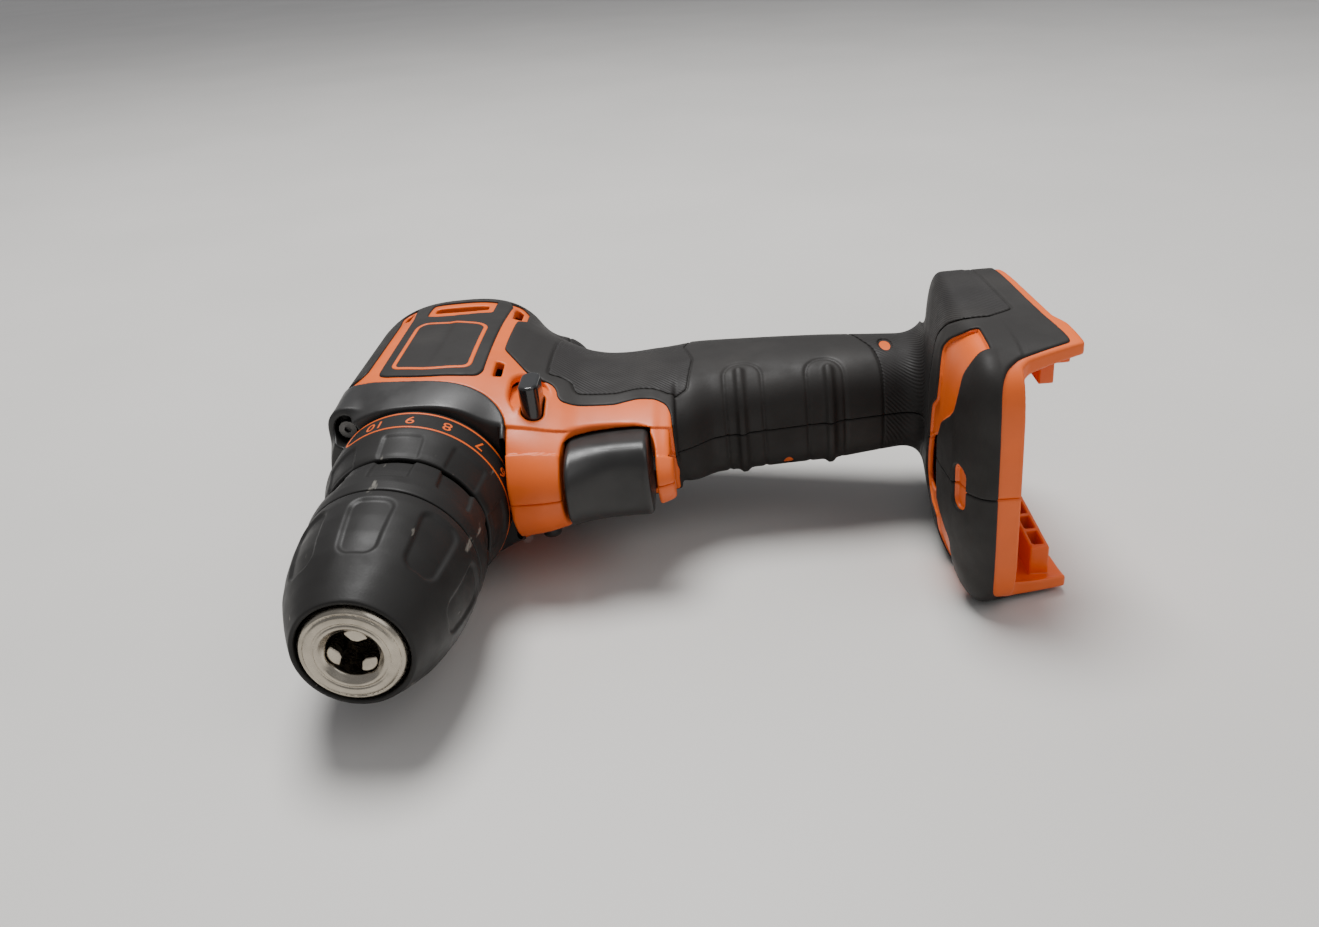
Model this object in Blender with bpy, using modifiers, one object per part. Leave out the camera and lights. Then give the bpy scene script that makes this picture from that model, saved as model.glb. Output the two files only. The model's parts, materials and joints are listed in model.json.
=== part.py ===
"""Cordless drill/driver, bare tool, as an assembly of separate pieces.

The pieces are modelled in the drill's own frame: +X runs out of the chuck along
the spindle, +Y is the tool's left side, +Z its top, and the origin is on the
spindle axis at the chuck's front face.  A root empty then lays the whole tool on
its right side, resting on the motor housing and the battery foot.
All sizes below are in millimetres.
"""

import math

import bmesh
import bpy
from mathutils import Matrix, Vector

MM = 0.001
GAP = 0.3                # between pieces that touch
SEAM = 0.15              # half of the gap between the two clamshell halves

# Driving dimensions of the outside
HEAD_HALF_WIDTH = 29.5
HEAD_FRONT = -88.0
FOOT_HALF_WIDTH = 37.0
FOOT_ROOF = -160.2       # underside of the foot, the roof of the battery channel
FOOT_TIP = -176.8        # lowest corner of the channel walls
SHELL = 2.4              # wall of the clamshell
GRIP_TOP = -76.5
GRIP_BOTTOM = -133.0
GRIP_THICKNESS = 1.6

# Driving dimensions along the spindle axis
CHUCK_NOSE_RADIUS = 12.9
SLEEVE_BORE = CHUCK_NOSE_RADIUS + 0.4
FLUTE_AZIMUTH = -5.0     # of the first flute, and of the first facet behind it
SLEEVE_BACK = -34.1
REAR_RING_BACK = -49.6
COLLAR_FRONT = -51.4
COLLAR_BACK = -74.0
COLLAR_RADIUS = 25.8
MOTOR_RADIUS = 18.2
MOTOR_FRONT = -106.0
MOTOR_BACK = -157.0

# Chuck jaws
JAW_ANGLE = math.radians(15.0)
JAW_RADIUS = 3.0
JAW_AXIS_AT_NOSE = 3.3
JAW_OPENING = 3.1        # distance from the spindle axis to each jaw's face
JAW_LENGTH = 26.0
JAW_AZIMUTHS = (100.0, 220.0, 340.0)

# Planetary gears
SUN_RADIUS = 3.9
PLANET_RADIUS = 6.2
PLANET_ORBIT = 10.4

# Trigger and direction button
TRIGGER_TOP = -42.0
TRIGGER_BOTTOM = -65.2
TRIGGER_HALF_WIDTH = 11.7
TRIGGER_FRONT = -60.6
TRIGGER_BACK = -84.0
BUTTON_FRONT = -77.5
BUTTON_LENGTH = 12.0
BUTTON_WIDTH = 5.6
BUTTON_Z = -33.0
BUTTON_LEFT_END = 27.6
BUTTON_RIGHT_END = -21.0

ORANGE = (0.745, 0.155, 0.040, 1.0)
SOFT_BLACK = (0.040, 0.038, 0.036, 1.0)
HARD_BLACK = (0.022, 0.021, 0.020, 1.0)
STEEL = (0.55, 0.53, 0.49, 1.0)
DARK_STEEL = (0.25, 0.24, 0.23, 1.0)
BRASS = (0.66, 0.48, 0.20, 1.0)
COPPER = (0.70, 0.33, 0.17, 1.0)

# Outline of the handle and foot: height, front x, widest x, back x, half width,
# and the exponents of the front and back halves of the section's outline
HANDLE_SECTIONS = (
    (-14.0, -78.0, -118.0, -157.0, 26.5, 2.6, 2.6),
    (-22.0, -75.0, -116.0, -155.0, 26.5, 2.6, 2.6),
    (-27.6, -74.0, -114.0, -152.5, 25.6, 2.4, 2.6),
    (-28.4, -62.0, -112.0, -152.0, 25.4, 2.1, 2.6),
    (-34.0, -60.8, -110.0, -149.0, 23.5, 2.1, 2.5),
    (-40.2, -61.5, -109.0, -145.5, 21.2, 2.1, 2.4),
    (-40.6, -78.0, -109.0, -145.2, 21.0, 3.6, 2.4),
    (-52.0, -79.0, -110.0, -142.5, 18.2, 3.4, 2.3),
    (-66.0, -79.5, -111.0, -144.4, 17.3, 3.2, 2.2),
    (-66.4, -65.0, -112.0, -144.4, 17.3, 2.2, 2.2),
    (-71.0, -65.5, -113.0, -145.0, 17.2, 2.2, 2.2),
    (-74.0, -76.0, -115.0, -145.2, 17.2, 2.5, 2.2),
    (-78.0, -89.5, -117.0, -145.0, 17.2, 2.9, 2.3),
    (-84.0, -93.8, -118.0, -144.2, 17.2, 2.9, 2.3),
    (-100.0, -96.0, -118.5, -141.6, 17.2, 2.9, 2.3),
    (-116.0, -97.6, -118.0, -139.0, 17.0, 2.9, 2.3),
    (-130.0, -99.3, -117.5, -136.6, 16.6, 2.7, 2.3),
    (-137.0, -100.5, -117.5, -136.0, 16.6, 2.6, 2.3),
    (-141.0, -97.5, -116.0, -135.5, 17.8, 2.6, 2.5),
    (-143.4, -88.0, -112.0, -134.5, 20.5, 2.8, 2.7),
    (-144.8, -70.0, -104.0, -133.5, 24.5, 3.0, 3.0),
    (-146.4, -58.0, -97.0, -132.0, 29.0, 3.6, 3.6),
    (-149.0, -50.5, -91.0, -130.4, 33.0, 4.6, 4.6),
    (-152.5, -47.0, -88.0, -129.2, 35.8, 5.5, 5.5),
    (-156.0, -45.5, -87.0, -128.5, 37.0, 6.0, 6.0),
    (-160.2, -45.4, -87.0, -128.4, 37.0, 6.0, 6.0),
)

# Outline of the motor housing: x, half width, half height, outline exponent
HEAD_SECTIONS = (
    (-74.6, 26.0, 26.2, 2.6),
    (-80.0, 27.6, 28.0, 3.0),
    (-88.0, 28.8, 29.4, 3.0),
    (-100.0, 29.5, 30.0, 3.0),
    (-142.0, 29.5, 30.0, 3.0),
    (-155.0, 28.4, 28.6, 2.9),
    (-164.0, 24.6, 24.8, 2.7),
    (-170.0, 18.2, 18.4, 2.5),
    (-173.0, 10.5, 10.8, 2.3),
)


# ---------------------------------------------------------------- helpers

def clear_scene():
    for item in list(bpy.data.objects):
        bpy.data.objects.remove(item, do_unlink=True)


def new_collection(name):
    collection = bpy.data.collections.new(name)
    bpy.context.scene.collection.children.link(collection)
    return collection


def material(name, colour, roughness, metallic=0.0):
    made = bpy.data.materials.get(name) or bpy.data.materials.new(name)
    made.use_nodes = True
    shader = made.node_tree.nodes["Principled BSDF"]
    shader.inputs["Base Color"].default_value = colour
    shader.inputs["Roughness"].default_value = roughness
    shader.inputs["Metallic"].default_value = metallic
    return made


def add_object(name, mesh, finish=None, parent=None, smooth=True):
    """Make an object of the drill; one with no finish is a cutter and is not shown."""
    made = bpy.data.objects.new(name, mesh)
    if finish is None:
        CUTTERS.objects.link(made)
        made.hide_render = True
        made.display_type = "WIRE"
    else:
        PARTS.objects.link(made)
        mesh.materials.append(finish)
    made.parent = parent or DRILL
    if smooth:
        mesh.shade_smooth()
        mesh.set_sharp_from_angle(angle=math.radians(32.0))
    return made


def mesh_from(build, name):
    mesh = bpy.data.meshes.new(name)
    bm = bmesh.new()
    build(bm)
    bmesh.ops.recalc_face_normals(bm, faces=bm.faces)
    bm.to_mesh(mesh)
    bm.free()
    return mesh


def add_box(bm, low, high):
    """Add a box between two corners, in millimetres."""
    size = [(b - a) * MM for a, b in zip(low, high)]
    centre = [(b + a) / 2.0 * MM for a, b in zip(low, high)]
    place = Matrix.Translation(centre) @ Matrix.Diagonal((*size, 1.0))
    bmesh.ops.create_cube(bm, size=1.0, matrix=place)


def box(name, low, high, finish=None, parent=None):
    return add_object(name, mesh_from(lambda bm: add_box(bm, low, high), name), finish, parent, smooth=False)


def rod(name, start, end, radius, finish=None, parent=None, segments=16, end_radius=None):
    """A cylinder or cone between two points, in millimetres."""
    a = Vector(start) * MM
    b = Vector(end) * MM
    turn = (b - a).to_track_quat("Z", "Y").to_matrix().to_4x4()
    place = Matrix.Translation((a + b) / 2.0) @ turn
    tip = radius if end_radius is None else end_radius

    def build(bm):
        bmesh.ops.create_cone(bm, cap_ends=True, segments=segments, radius1=radius * MM,
                              radius2=tip * MM, depth=(b - a).length, matrix=place)
    return add_object(name, mesh_from(build, name), finish, parent)


def turned(name, profile, finish=None, parent=None, segments=32):
    """A body turned about the spindle axis.

    The profile is a list of (x along the spindle, radius) that runs down the outer
    side from the front to the back and, for a ring, returns up the bore.
    """
    mesh = bpy.data.meshes.new(name)
    points = [(radius * MM, 0.0, x * MM) for x, radius in profile]
    edges = [(i, i + 1) for i in range(len(points) - 1)]
    if profile[0][1] > 0.0 or profile[-1][1] > 0.0:
        edges.append((len(points) - 1, 0))
    mesh.from_pydata(points, edges, [])
    made = add_object(name, mesh, finish, parent or SPINDLE_AXIS, smooth=False)
    screw = made.modifiers.new("Turn", "SCREW")
    screw.axis = "Z"
    screw.steps = segments
    screw.render_steps = segments
    screw.use_merge_vertices = True
    screw.merge_threshold = 0.00001
    screw.use_smooth_shade = True
    return made


def superellipse(count, half_a, half_b, exponent):
    """Points of a rounded outline, evenly spread by angle."""
    points = []
    for i in range(count):
        angle = 2.0 * math.pi * (i + 0.5) / count
        c = math.cos(angle)
        s = math.sin(angle)
        u = math.copysign(abs(c) ** (2.0 / exponent), c) * half_a
        v = math.copysign(abs(s) ** (2.0 / exponent), s) * half_b
        points.append((u, v))
    return points


def loft_mesh(name, rings):
    """Skin a closed body over rings of equal point counts."""
    def build(bm):
        rows = [[bm.verts.new(Vector(p) * MM) for p in ring] for ring in rings]
        count = len(rings[0])
        for low, high in zip(rows, rows[1:]):
            for i in range(count):
                j = (i + 1) % count
                bm.faces.new((low[i], low[j], high[j], high[i]))
        bm.faces.new(list(reversed(rows[0])))
        bm.faces.new(rows[-1])
        bmesh.ops.triangulate(bm, faces=bm.faces)
    return mesh_from(build, name)


def boolean(target, tool, operation, solver="EXACT"):
    modifier = target.modifiers.new(operation.title(), "BOOLEAN")
    modifier.operation = operation
    modifier.solver = solver
    modifier.object = tool
    return target


def cut(target, *tools, solver="EXACT"):
    for tool in tools:
        boolean(target, tool, "DIFFERENCE", solver)
    return target


def join(target, *tools, solver="EXACT"):
    for tool in tools:
        boolean(target, tool, "UNION", solver)
    return target


def bake(target):
    """Apply an object's modifiers and weld what they leave closer than a micrometre."""
    bpy.context.view_layer.update()
    graph = bpy.context.evaluated_depsgraph_get()
    mesh = bpy.data.meshes.new_from_object(target.evaluated_get(graph))
    bm = bmesh.new()
    bm.from_mesh(mesh)
    bmesh.ops.remove_doubles(bm, verts=bm.verts, dist=0.001 * MM)
    bmesh.ops.triangulate(bm, faces=bm.faces)
    bm.to_mesh(mesh)
    bm.free()
    target.modifiers.clear()
    target.data = mesh
    return target


def polar(x, radius, azimuth):
    """Point at a distance from the spindle axis; azimuth 0 is +Y, 90 is +Z."""
    angle = math.radians(azimuth)
    return Vector((x, radius * math.cos(angle), radius * math.sin(angle)))


# ---------------------------------------------------------------- housing

def mix(a, b, t):
    return tuple(p + (q - p) * t for p, q in zip(a, b))


def handle_ring(z, inset, count=20):
    """Outline of the handle and foot at one height, drawn in by an inset."""
    sections = HANDLE_SECTIONS
    place = next(i for i in range(len(sections) - 1) if z >= sections[i + 1][0])
    low, high = sections[place], sections[place + 1]
    t = (z - low[0]) / (high[0] - low[0])
    _, front, middle, back, half, front_exp, back_exp = mix(low, high, t)
    ring = []
    for u, v in superellipse(count, 1.0, 1.0, 2.0):
        exponent = front_exp if u > 0.0 else back_exp
        reach = (front - middle if u > 0.0 else middle - back) - inset
        x = middle + math.copysign(abs(u) ** (2.0 / exponent), u) * reach
        y = math.copysign(abs(v) ** (2.0 / exponent), v) * (half - inset)
        ring.append((x, y, z))
    return ring


def handle_body(name, heights_and_insets):
    return add_object(name, loft_mesh(name, [handle_ring(z, inset) for z, inset in heights_and_insets]))


def head_ring(x, inset, count=24):
    sections = HEAD_SECTIONS
    place = next(i for i in range(len(sections) - 1) if x >= sections[i + 1][0])
    low, high = sections[place], sections[place + 1]
    t = (x - low[0]) / (high[0] - low[0])
    _, half_width, half_height, exponent = mix(low, high, t)
    return [(x, u, v) for u, v in superellipse(count, half_width - inset, half_height - inset, exponent)]


def head_body(name, front, back, inset):
    stations = [front]
    stations += [s[0] for s in HEAD_SECTIONS if back < s[0] < front]
    stations.append(back)
    return add_object(name, loft_mesh(name, [head_ring(x, inset) for x in stations]))


def housing_outside():
    """Head and handle lofts with the grip's seat stepped in."""
    seat = GRIP_THICKNESS + GAP
    stations = []
    for section in HANDLE_SECTIONS:
        z = section[0]
        stations.append((z, seat if GRIP_BOTTOM < z < GRIP_TOP else 0.0))
    for z, inset in ((GRIP_TOP + GAP, 0.0), (GRIP_TOP + GAP - 0.01, seat),
                     (GRIP_BOTTOM - GAP + 0.01, seat), (GRIP_BOTTOM - GAP, 0.0)):
        stations.append((z, inset))
    stations.sort(key=lambda item: -item[0])
    handle = handle_body("cut_handle_outside", stations)
    head = head_body("cut_head_outside", HEAD_FRONT, -173.0, 0.0)
    return head, handle


# x and z of each clamshell screw, and the depth (y) of its head's seat in the right half
HOUSING_SCREWS = ((-98.5, 25.2, -13.5), (-148.0, 24.0, -13.5), (-165.6, -2.0, -14.0),
                  (-136.0, -40.0, -9.0), (-104.5, -73.0, -8.5), (-117.0, -138.5, -12.0))
NOSE_SCREWS = ((19.5, 19.5), (-19.5, 19.5))      # y and z


def screw_posts():
    return [rod(f"cut_post_{i + 1}", (x, -60.0, z), (x, 60.0, z), 3.0, segments=12)
            for i, (x, z, _) in enumerate(HOUSING_SCREWS)]


def housing_hollow():
    """The space inside the clamshell; posts for the screws are left standing in it."""
    wall = SHELL + GRIP_THICKNESS + GAP
    heights = [(-16.0, SHELL), (-28.2, SHELL), (-30.8, SHELL), (-38.2, SHELL), (-42.8, SHELL),
               (-63.8, SHELL), (-72.0, wall), (-100.0, wall), (-132.0, wall), (-138.5, wall),
               (-147.0, SHELL + 1.0), (-157.6, SHELL)]
    handle = handle_body("cut_handle_inside", heights)
    head = head_body("cut_head_inside", HEAD_FRONT - 3.0, -170.5, SHELL)
    posts = screw_posts()
    cut(handle, *posts)
    cut(head, *posts)
    mouth = turned("cut_head_mouth", [(-60.0, 0.0), (-60.0, 21.2), (-95.0, 21.2), (-95.0, 0.0)])
    return [handle, head, mouth]


def channel_wall(side):
    """A wall that hangs from the foot and guides the battery."""
    outline = ((-52.0, -158.5), (-57.0, FOOT_TIP), (-69.0, -176.0), (-75.0, -174.0),
               (-118.0, -171.0), (-124.0, -158.5))
    inner = FOOT_HALF_WIDTH - 3.8
    outer = FOOT_HALF_WIDTH - 0.4
    rings = [[(x, side * y, z) for x, z in outline] for y in (inner, outer)]
    name = "cut_wall_left" if side > 0 else "cut_wall_right"
    return add_object(name, loft_mesh(name, rings), smooth=False)


def channel_rails(side):
    """Rails on the channel walls; the right one is ribbed into open cells."""
    if side > 0:
        upper = box("cut_rail_left_upper", (-112.0, 25.0, -170.2), (-58.5, 34.0, -166.4))
        lower = box("cut_rail_left_lower", (-72.0, 29.5, -174.6), (-60.5, 34.0, -169.8))
        return [upper, lower], []
    rail = box("cut_rail_right", (-112.0, -34.0, -172.6), (-59.5, -24.5, -167.4))
    cells = []
    for i in range(4):
        front = -62.0 - 12.3 * i
        cells.append(box(f"cut_rail_cell_{i + 1}", (front - 10.3, -32.0, -171.2), (front, -20.0, -168.8)))
    return [rail], cells


def vent_cutters(side):
    """Cooling slots at both ends of the head and one long slot above the side panel."""
    slots = (("front_low", -104.0, -92.5, -26.8, -23.4), ("back_low", -160.5, -154.5, -19.0, -13.0),
             ("back_high", -160.5, -154.5, 9.0, 15.0), ("top_long", -138.0, -108.0, 18.5, 22.5))
    label = "left" if side > 0 else "right"
    made = []
    for name, back, front, low, high in slots:
        near, far = sorted((side * 17.0, side * 34.0))
        made.append(box(f"cut_vent_{label}_{name}", (back, near, low), (front, far, high)))
    return made


def screw_bores():
    bores = []
    for i, (x, z, seat) in enumerate(HOUSING_SCREWS):
        bores.append(rod(f"cut_bore_{i + 1}", (x, -45.0, z), (x, 9.0, z), 1.6, segments=12))
        bores.append(rod(f"cut_seat_{i + 1}", (x, -45.0, z), (x, seat, z), 2.95, segments=12))
    for i, (y, z) in enumerate(NOSE_SCREWS):
        bores.append(rod(f"cut_nose_bore_{i + 1}", (-60.0, y, z), (-90.4, y, z), 1.6, segments=12))
    return bores


def housing_openings():
    """Slots for the trigger, the direction button, the lamp and the terminal block."""
    trigger = box("cut_trigger_slot", (-92.0, -12.1, TRIGGER_BOTTOM - 0.5), (-62.0, 12.1, TRIGGER_TOP + 0.5))
    button = capsule_bar("cut_button_slot", -40.0, 40.0, 0.45)
    lamp = box("cut_lamp_slot", (-67.0, -9.0, -152.0), (-58.5, 9.0, -130.0))
    terminal = box("cut_terminal_slot", (-123.6, -15.0, -165.0), (-106.4, 15.0, -152.0))
    return [trigger, button, lamp, terminal]


def capsule_bar(name, low, high, grow, finish=None):
    """A bar of capsule section across the tool, as wide as the direction button plus grow."""
    half = BUTTON_WIDTH / 2.0 + grow
    centre = BUTTON_FRONT - BUTTON_LENGTH / 2.0
    straight = BUTTON_LENGTH / 2.0 - BUTTON_WIDTH / 2.0
    rings = []
    for y in (low, high):
        ring = []
        for i in range(16):
            angle = 2.0 * math.pi * (i + 0.5) / 16
            shift = math.copysign(straight, math.cos(angle))
            ring.append((centre + shift + half * math.cos(angle), y, BUTTON_Z + half * math.sin(angle)))
        rings.append(ring)
    return add_object(name, loft_mesh(name, rings), finish)


def housing():
    """Both clamshell halves: lofts joined, hollowed and parted at the seam."""
    head, handle = housing_outside()
    bake(join(head, handle))
    hollow = housing_hollow()
    bores = screw_bores()
    openings = housing_openings()
    for side, name in ((1.0, "housing_left"), (-1.0, "housing_right")):
        near, far = sorted((side * SEAM, side * 60.0))
        half = box(name, (-200.0, near, -200.0), (-40.0, far, 60.0), ORANGE_PLASTIC)
        boolean(half, head, "INTERSECT", "MANIFOLD")
        cut(half, *hollow, solver="MANIFOLD")
        rails, cells = channel_rails(side)
        join(half, channel_wall(side), *rails, solver="MANIFOLD")
        cut(half, *bores, *cells, *vent_cutters(side), *openings, solver="MANIFOLD")


def grips():
    """Soft overmoulds around the handle, one on each half."""
    levels = (GRIP_TOP, -78.0, -84.0, -100.0, -116.0, -130.0, GRIP_BOTTOM)
    inner = [handle_ring(z, GRIP_THICKNESS) for z in levels]
    above = [(x, y, z + 5.0) for x, y, z in inner[0]]
    below = [(x, y, z - 5.0) for x, y, z in inner[-1]]
    core = add_object("cut_grip_core", loft_mesh("cut_grip_core", [above, *inner, below]))
    for side, name in ((1.0, "grip_left"), (-1.0, "grip_right")):
        skin = add_object(name, loft_mesh(name, [handle_ring(z, 0.0) for z in levels]), SOFT_PLASTIC)
        near, far = sorted((side * SEAM, side * 60.0))
        boolean(skin, box(f"cut_{name}_side", (-200.0, near, -200.0), (-40.0, far, 0.0)), "INTERSECT")
        cut(skin, core)


def nose_cover():
    """Black cover between the torque collar and the clamshell, with two screwed corners."""
    cover = head_body("nose_cover_shape", -74.8, HEAD_FRONT + GAP, 0.0)
    cover.name = "nose_cover"
    finish_as_part(cover, HARD_PLASTIC)
    keep_clear = box("cut_nose_clear", (-95.0, -40.0, -40.0), (-60.0, 40.0, -13.6))
    bore = turned("cut_nose_cover_bore", [(-60.0, 0.0), (-60.0, 21.2), (-95.0, 21.2), (-95.0, 0.0)])
    cut(cover, bore, keep_clear)
    for i, (y, z) in enumerate(NOSE_SCREWS):
        cut(cover, rod(f"cut_nose_shank_{i + 1}", (-60.0, y, z), (-100.0, y, z), 1.6, segments=12),
            rod(f"cut_nose_head_{i + 1}", (-60.0, y, z), (-80.0, y, z), 3.0, segments=16))
    return cover


def finish_as_part(item, finish):
    """Turn an unfinished body into a visible part of the drill."""
    CUTTERS.objects.unlink(item)
    PARTS.objects.link(item)
    item.hide_render = False
    item.display_type = "TEXTURED"
    item.data.materials.append(finish)


def screw(name, start, direction, length, head_radius, shank_radius):
    """A pan-head screw whose head starts at a point and whose shank runs along a direction."""
    start = Vector(start)
    along = Vector(direction).normalized()
    head = rod(name, start, start + along * 1.8, head_radius, STEEL_METAL, segments=12)
    shank = rod(f"cut_{name}_shank", start + along * 1.0, start + along * (1.8 + length), shank_radius,
                segments=8)
    slot = rod(f"cut_{name}_socket", start - along, start + along * 1.0, head_radius * 0.42, segments=6)
    join(head, shank)
    cut(head, slot)
    return head


def housing_screws():
    for i, (x, z, seat) in enumerate(HOUSING_SCREWS):
        screw(f"housing_screw_{i + 1}", (x, seat - 1.8 - GAP, z), (0.0, 1.0, 0.0), 6.5 - seat, 2.6, 1.25)
    for i, (y, z) in enumerate(NOSE_SCREWS):
        screw(f"nose_screw_{i + 1}", (-80.0 + 1.8 + GAP, y, z), (-1.0, 0.0, 0.0), 9.4, 2.6, 1.25)


# ---------------------------------------------------------------- chuck

def jaw_line(x):
    """Distance of a jaw's centre line from the spindle axis."""
    return JAW_AXIS_AT_NOSE - x * math.tan(JAW_ANGLE)


def chuck_body():
    """Steel body with the domed nose ring, three slanting jaw bores and a threaded back."""
    profile = [(2.4, 7.6), (2.4, 9.0), (1.6, 10.7), (0.0, CHUCK_NOSE_RADIUS), (-1.5, CHUCK_NOSE_RADIUS),
               (-1.5, 11.4), (-13.6, 11.4), (-13.6, 9.8), (-23.4, 9.8), (-23.4, 17.2), (-39.0, 17.2),
               (-41.0, 12.0), (-48.6, 12.0), (-48.6, 5.2), (-13.0, 5.2), (-10.0, 6.5), (0.6, 6.5)]
    body = turned("chuck_body", profile, STEEL_METAL, SPINDLE_BODY, 30)
    for i, azimuth in enumerate(JAW_AZIMUTHS):
        front = polar(12.0, jaw_line(12.0), azimuth)
        back = polar(-46.0, jaw_line(-46.0), azimuth)
        cut(body, rod(f"cut_jaw_bore_{i + 1}", front, back, JAW_RADIUS + GAP + 0.1, segments=14))
    return body


def jaw(index, azimuth):
    """A slanting steel jaw: a rod whose inner side is cut to a wedge facing the axis."""
    frame = empty(f"jaw_{index}_slide", DRILL, (0.0, 0.0, 0.0))
    front = polar(2.2, jaw_line(2.2), azimuth)
    back = polar(2.2 - JAW_LENGTH, jaw_line(2.2 - JAW_LENGTH), azimuth)
    made = rod(f"jaw_{index}", front, back, JAW_RADIUS, STEEL_METAL, frame, segments=14)
    outward = polar(0.0, 1.0, azimuth)
    across = Vector((0.0, -outward.z, outward.y))
    rings = []
    for x in (6.0, -40.0):
        corners = ((JAW_OPENING, -0.7), (JAW_OPENING, 0.7), (26.0, 36.0), (26.0, -36.0))
        rings.append([tuple(Vector((x, 0.0, 0.0)) + outward * r + across * s) for r, s in corners])
    wedge = add_object(f"cut_jaw_wedge_{index}", loft_mesh(f"cut_jaw_wedge_{index}", rings), smooth=False)
    boolean(made, wedge, "INTERSECT")
    flat = box(f"cut_jaw_tip_{index}", (-40.0, -30.0, -30.0), (0.4, 30.0, 30.0))
    boolean(made, flat, "INTERSECT")
    return made


def jaw_nut():
    """Threaded ring that drives the jaws; its bore follows their slant."""
    def clear(x):
        return jaw_line(x) + (JAW_RADIUS + GAP) / math.cos(JAW_ANGLE) + 0.15
    profile = [(-14.0, clear(-14.0)), (-14.0, 17.4), (-23.0, 17.4), (-23.0, clear(-23.0))]
    return turned("jaw_nut", profile, DARK_METAL, SLEEVE_BODY, 32)


def chuck_sleeve():
    """Front sleeve that is gripped to open and close the chuck, with flutes around it."""
    profile = [(1.0, SLEEVE_BORE), (1.0, 14.4), (-2.0, 16.0), (-6.0, 17.8), (-12.0, 20.2), (-18.0, 21.6),
               (-24.0, 22.5), (-30.0, 23.0), (SLEEVE_BACK + 0.2, 22.9), (SLEEVE_BACK + 0.2, 17.8),
               (-13.7, 17.8), (-12.2, 16.0), (-12.2, SLEEVE_BORE)]
    sleeve = turned("chuck_sleeve", profile, SOFT_PLASTIC, SLEEVE_BODY, 32)
    for i in range(8):
        azimuth = 45.0 * i + FLUTE_AZIMUTH
        a = polar(-8.5, 20.6, azimuth)
        b = polar(-30.0, 24.9, azimuth)
        cut(sleeve, rod(f"cut_flute_{i + 1}", a, b, 2.6, segments=8))
    return sleeve


def chuck_rear_ring():
    """Rear ring of the chuck, fixed to its body."""
    profile = [(SLEEVE_BACK - 0.2, 17.8), (SLEEVE_BACK - 0.2, 22.9), (-38.0, 23.1), (-45.0, 22.6),
               (REAR_RING_BACK, 21.2), (REAR_RING_BACK, 12.4), (-47.0, 12.4), (-47.0, 17.8)]
    ring = turned("chuck_rear_ring", profile, SOFT_PLASTIC, SPINDLE_BODY, 32)
    for i in range(8):
        azimuth = 45.0 * i + FLUTE_AZIMUTH
        tool = box(f"cut_facet_{i + 1}", (-48.2, 22.3, -3.6), (-40.0, 26.0, 3.6))
        tool.rotation_euler = (math.radians(azimuth), 0.0, 0.0)
        cut(ring, tool)
    return ring


def chuck_screw():
    """Left-hand screw that locks the chuck to the spindle."""
    profile = [(-26.0, 0.0), (-26.0, 4.4), (-29.0, 4.4), (-29.0, 2.2), (-42.0, 2.2), (-42.0, 0.0)]
    made = turned("chuck_screw", profile, STEEL_METAL, SPINDLE_BODY, 20)
    cut(made, rod("cut_chuck_screw_slot", (-25.0, 0.0, 0.0), (-27.6, 0.0, 0.0), 1.8, segments=6))
    return made


# ---------------------------------------------------------------- gears and clutch

def spindle():
    profile = [(-44.0, 0.0), (-44.0, 2.6), (-29.4, 2.6), (-29.4, 4.8), (-50.0, 4.8), (-50.0, 5.9),
               (-83.0, 5.9), (-83.0, 0.0)]
    return turned("spindle", profile, STEEL_METAL, SPINDLE_BODY, 20)


def gear_case():
    """Case around the gears with a front tube that carries the clutch and both bearings."""
    profile = [(-52.6, 9.6), (-52.6, 13.4), (-74.9, 13.4), (-74.9, 20.6), (-104.6, 20.6), (-104.6, 19.3),
               (-78.0, 19.3), (-78.0, 9.6)]
    return turned("gear_case", profile, HARD_PLASTIC, SPINDLE_AXIS, 28)


def bearing(name, front, back):
    profile = [(front, 6.2), (front, 9.3), (back, 9.3), (back, 6.2)]
    return turned(name, profile, STEEL_METAL, SPINDLE_AXIS, 24)


def gear(name, x_front, x_back, tip, root, teeth, bore, finish, parent, origin=(0.0, 0.0)):
    """A spur gear along the spindle: trapezoid teeth, with a bore for its shaft or pin."""
    rings = []
    y0, z0 = origin
    for x in (x_front, x_back):
        ring = []
        for i in range(teeth * 4):
            angle = 2.0 * math.pi * (i + 0.5) / (teeth * 4)
            radius = tip if i % 4 in (0, 1) else root
            ring.append((x, y0 + radius * math.cos(angle), z0 + radius * math.sin(angle)))
        rings.append(ring)
    made = add_object(name, loft_mesh(name, rings), finish, parent)
    cut(made, rod(f"cut_{name}_bore", (x_front + 1.0, y0, z0), (x_back - 1.0, y0, z0), bore, parent=parent,
                  segments=16))
    return made


def ring_gear():
    profile = [(-84.2, 17.4), (-84.2, 19.0), (-93.0, 19.0), (-93.0, 17.4)]
    return turned("ring_gear", profile, DARK_METAL, SPINDLE_AXIS, 32)


def planet_carrier():
    """Disc with three pins that the planet gears turn on."""
    profile = [(-79.0, 6.2), (-79.0, 15.0), (-83.0, 15.0), (-83.0, 6.2)]
    carrier = turned("planet_carrier", profile, DARK_METAL, SPINDLE_BODY, 32)
    for i in range(3):
        centre = polar(0.0, PLANET_ORBIT, 120.0 * i + 90.0)
        join(carrier, rod(f"cut_pin_{i + 1}", (-81.0, centre.y, centre.z), (-92.6, centre.y, centre.z), 1.9,
                          segments=12))
    return carrier


def planets():
    for i in range(3):
        centre = polar(0.0, PLANET_ORBIT, 120.0 * i + 90.0)
        pin = empty(f"planet_pin_{i + 1}", SPINDLE_BODY_EMPTY, (-88.0, centre.y, centre.z))
        gear(f"planet_gear_{i + 1}", 4.2, -4.2, PLANET_RADIUS, PLANET_RADIUS - 1.2, 14, 2.0,
                     STEEL_METAL, pin)


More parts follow.
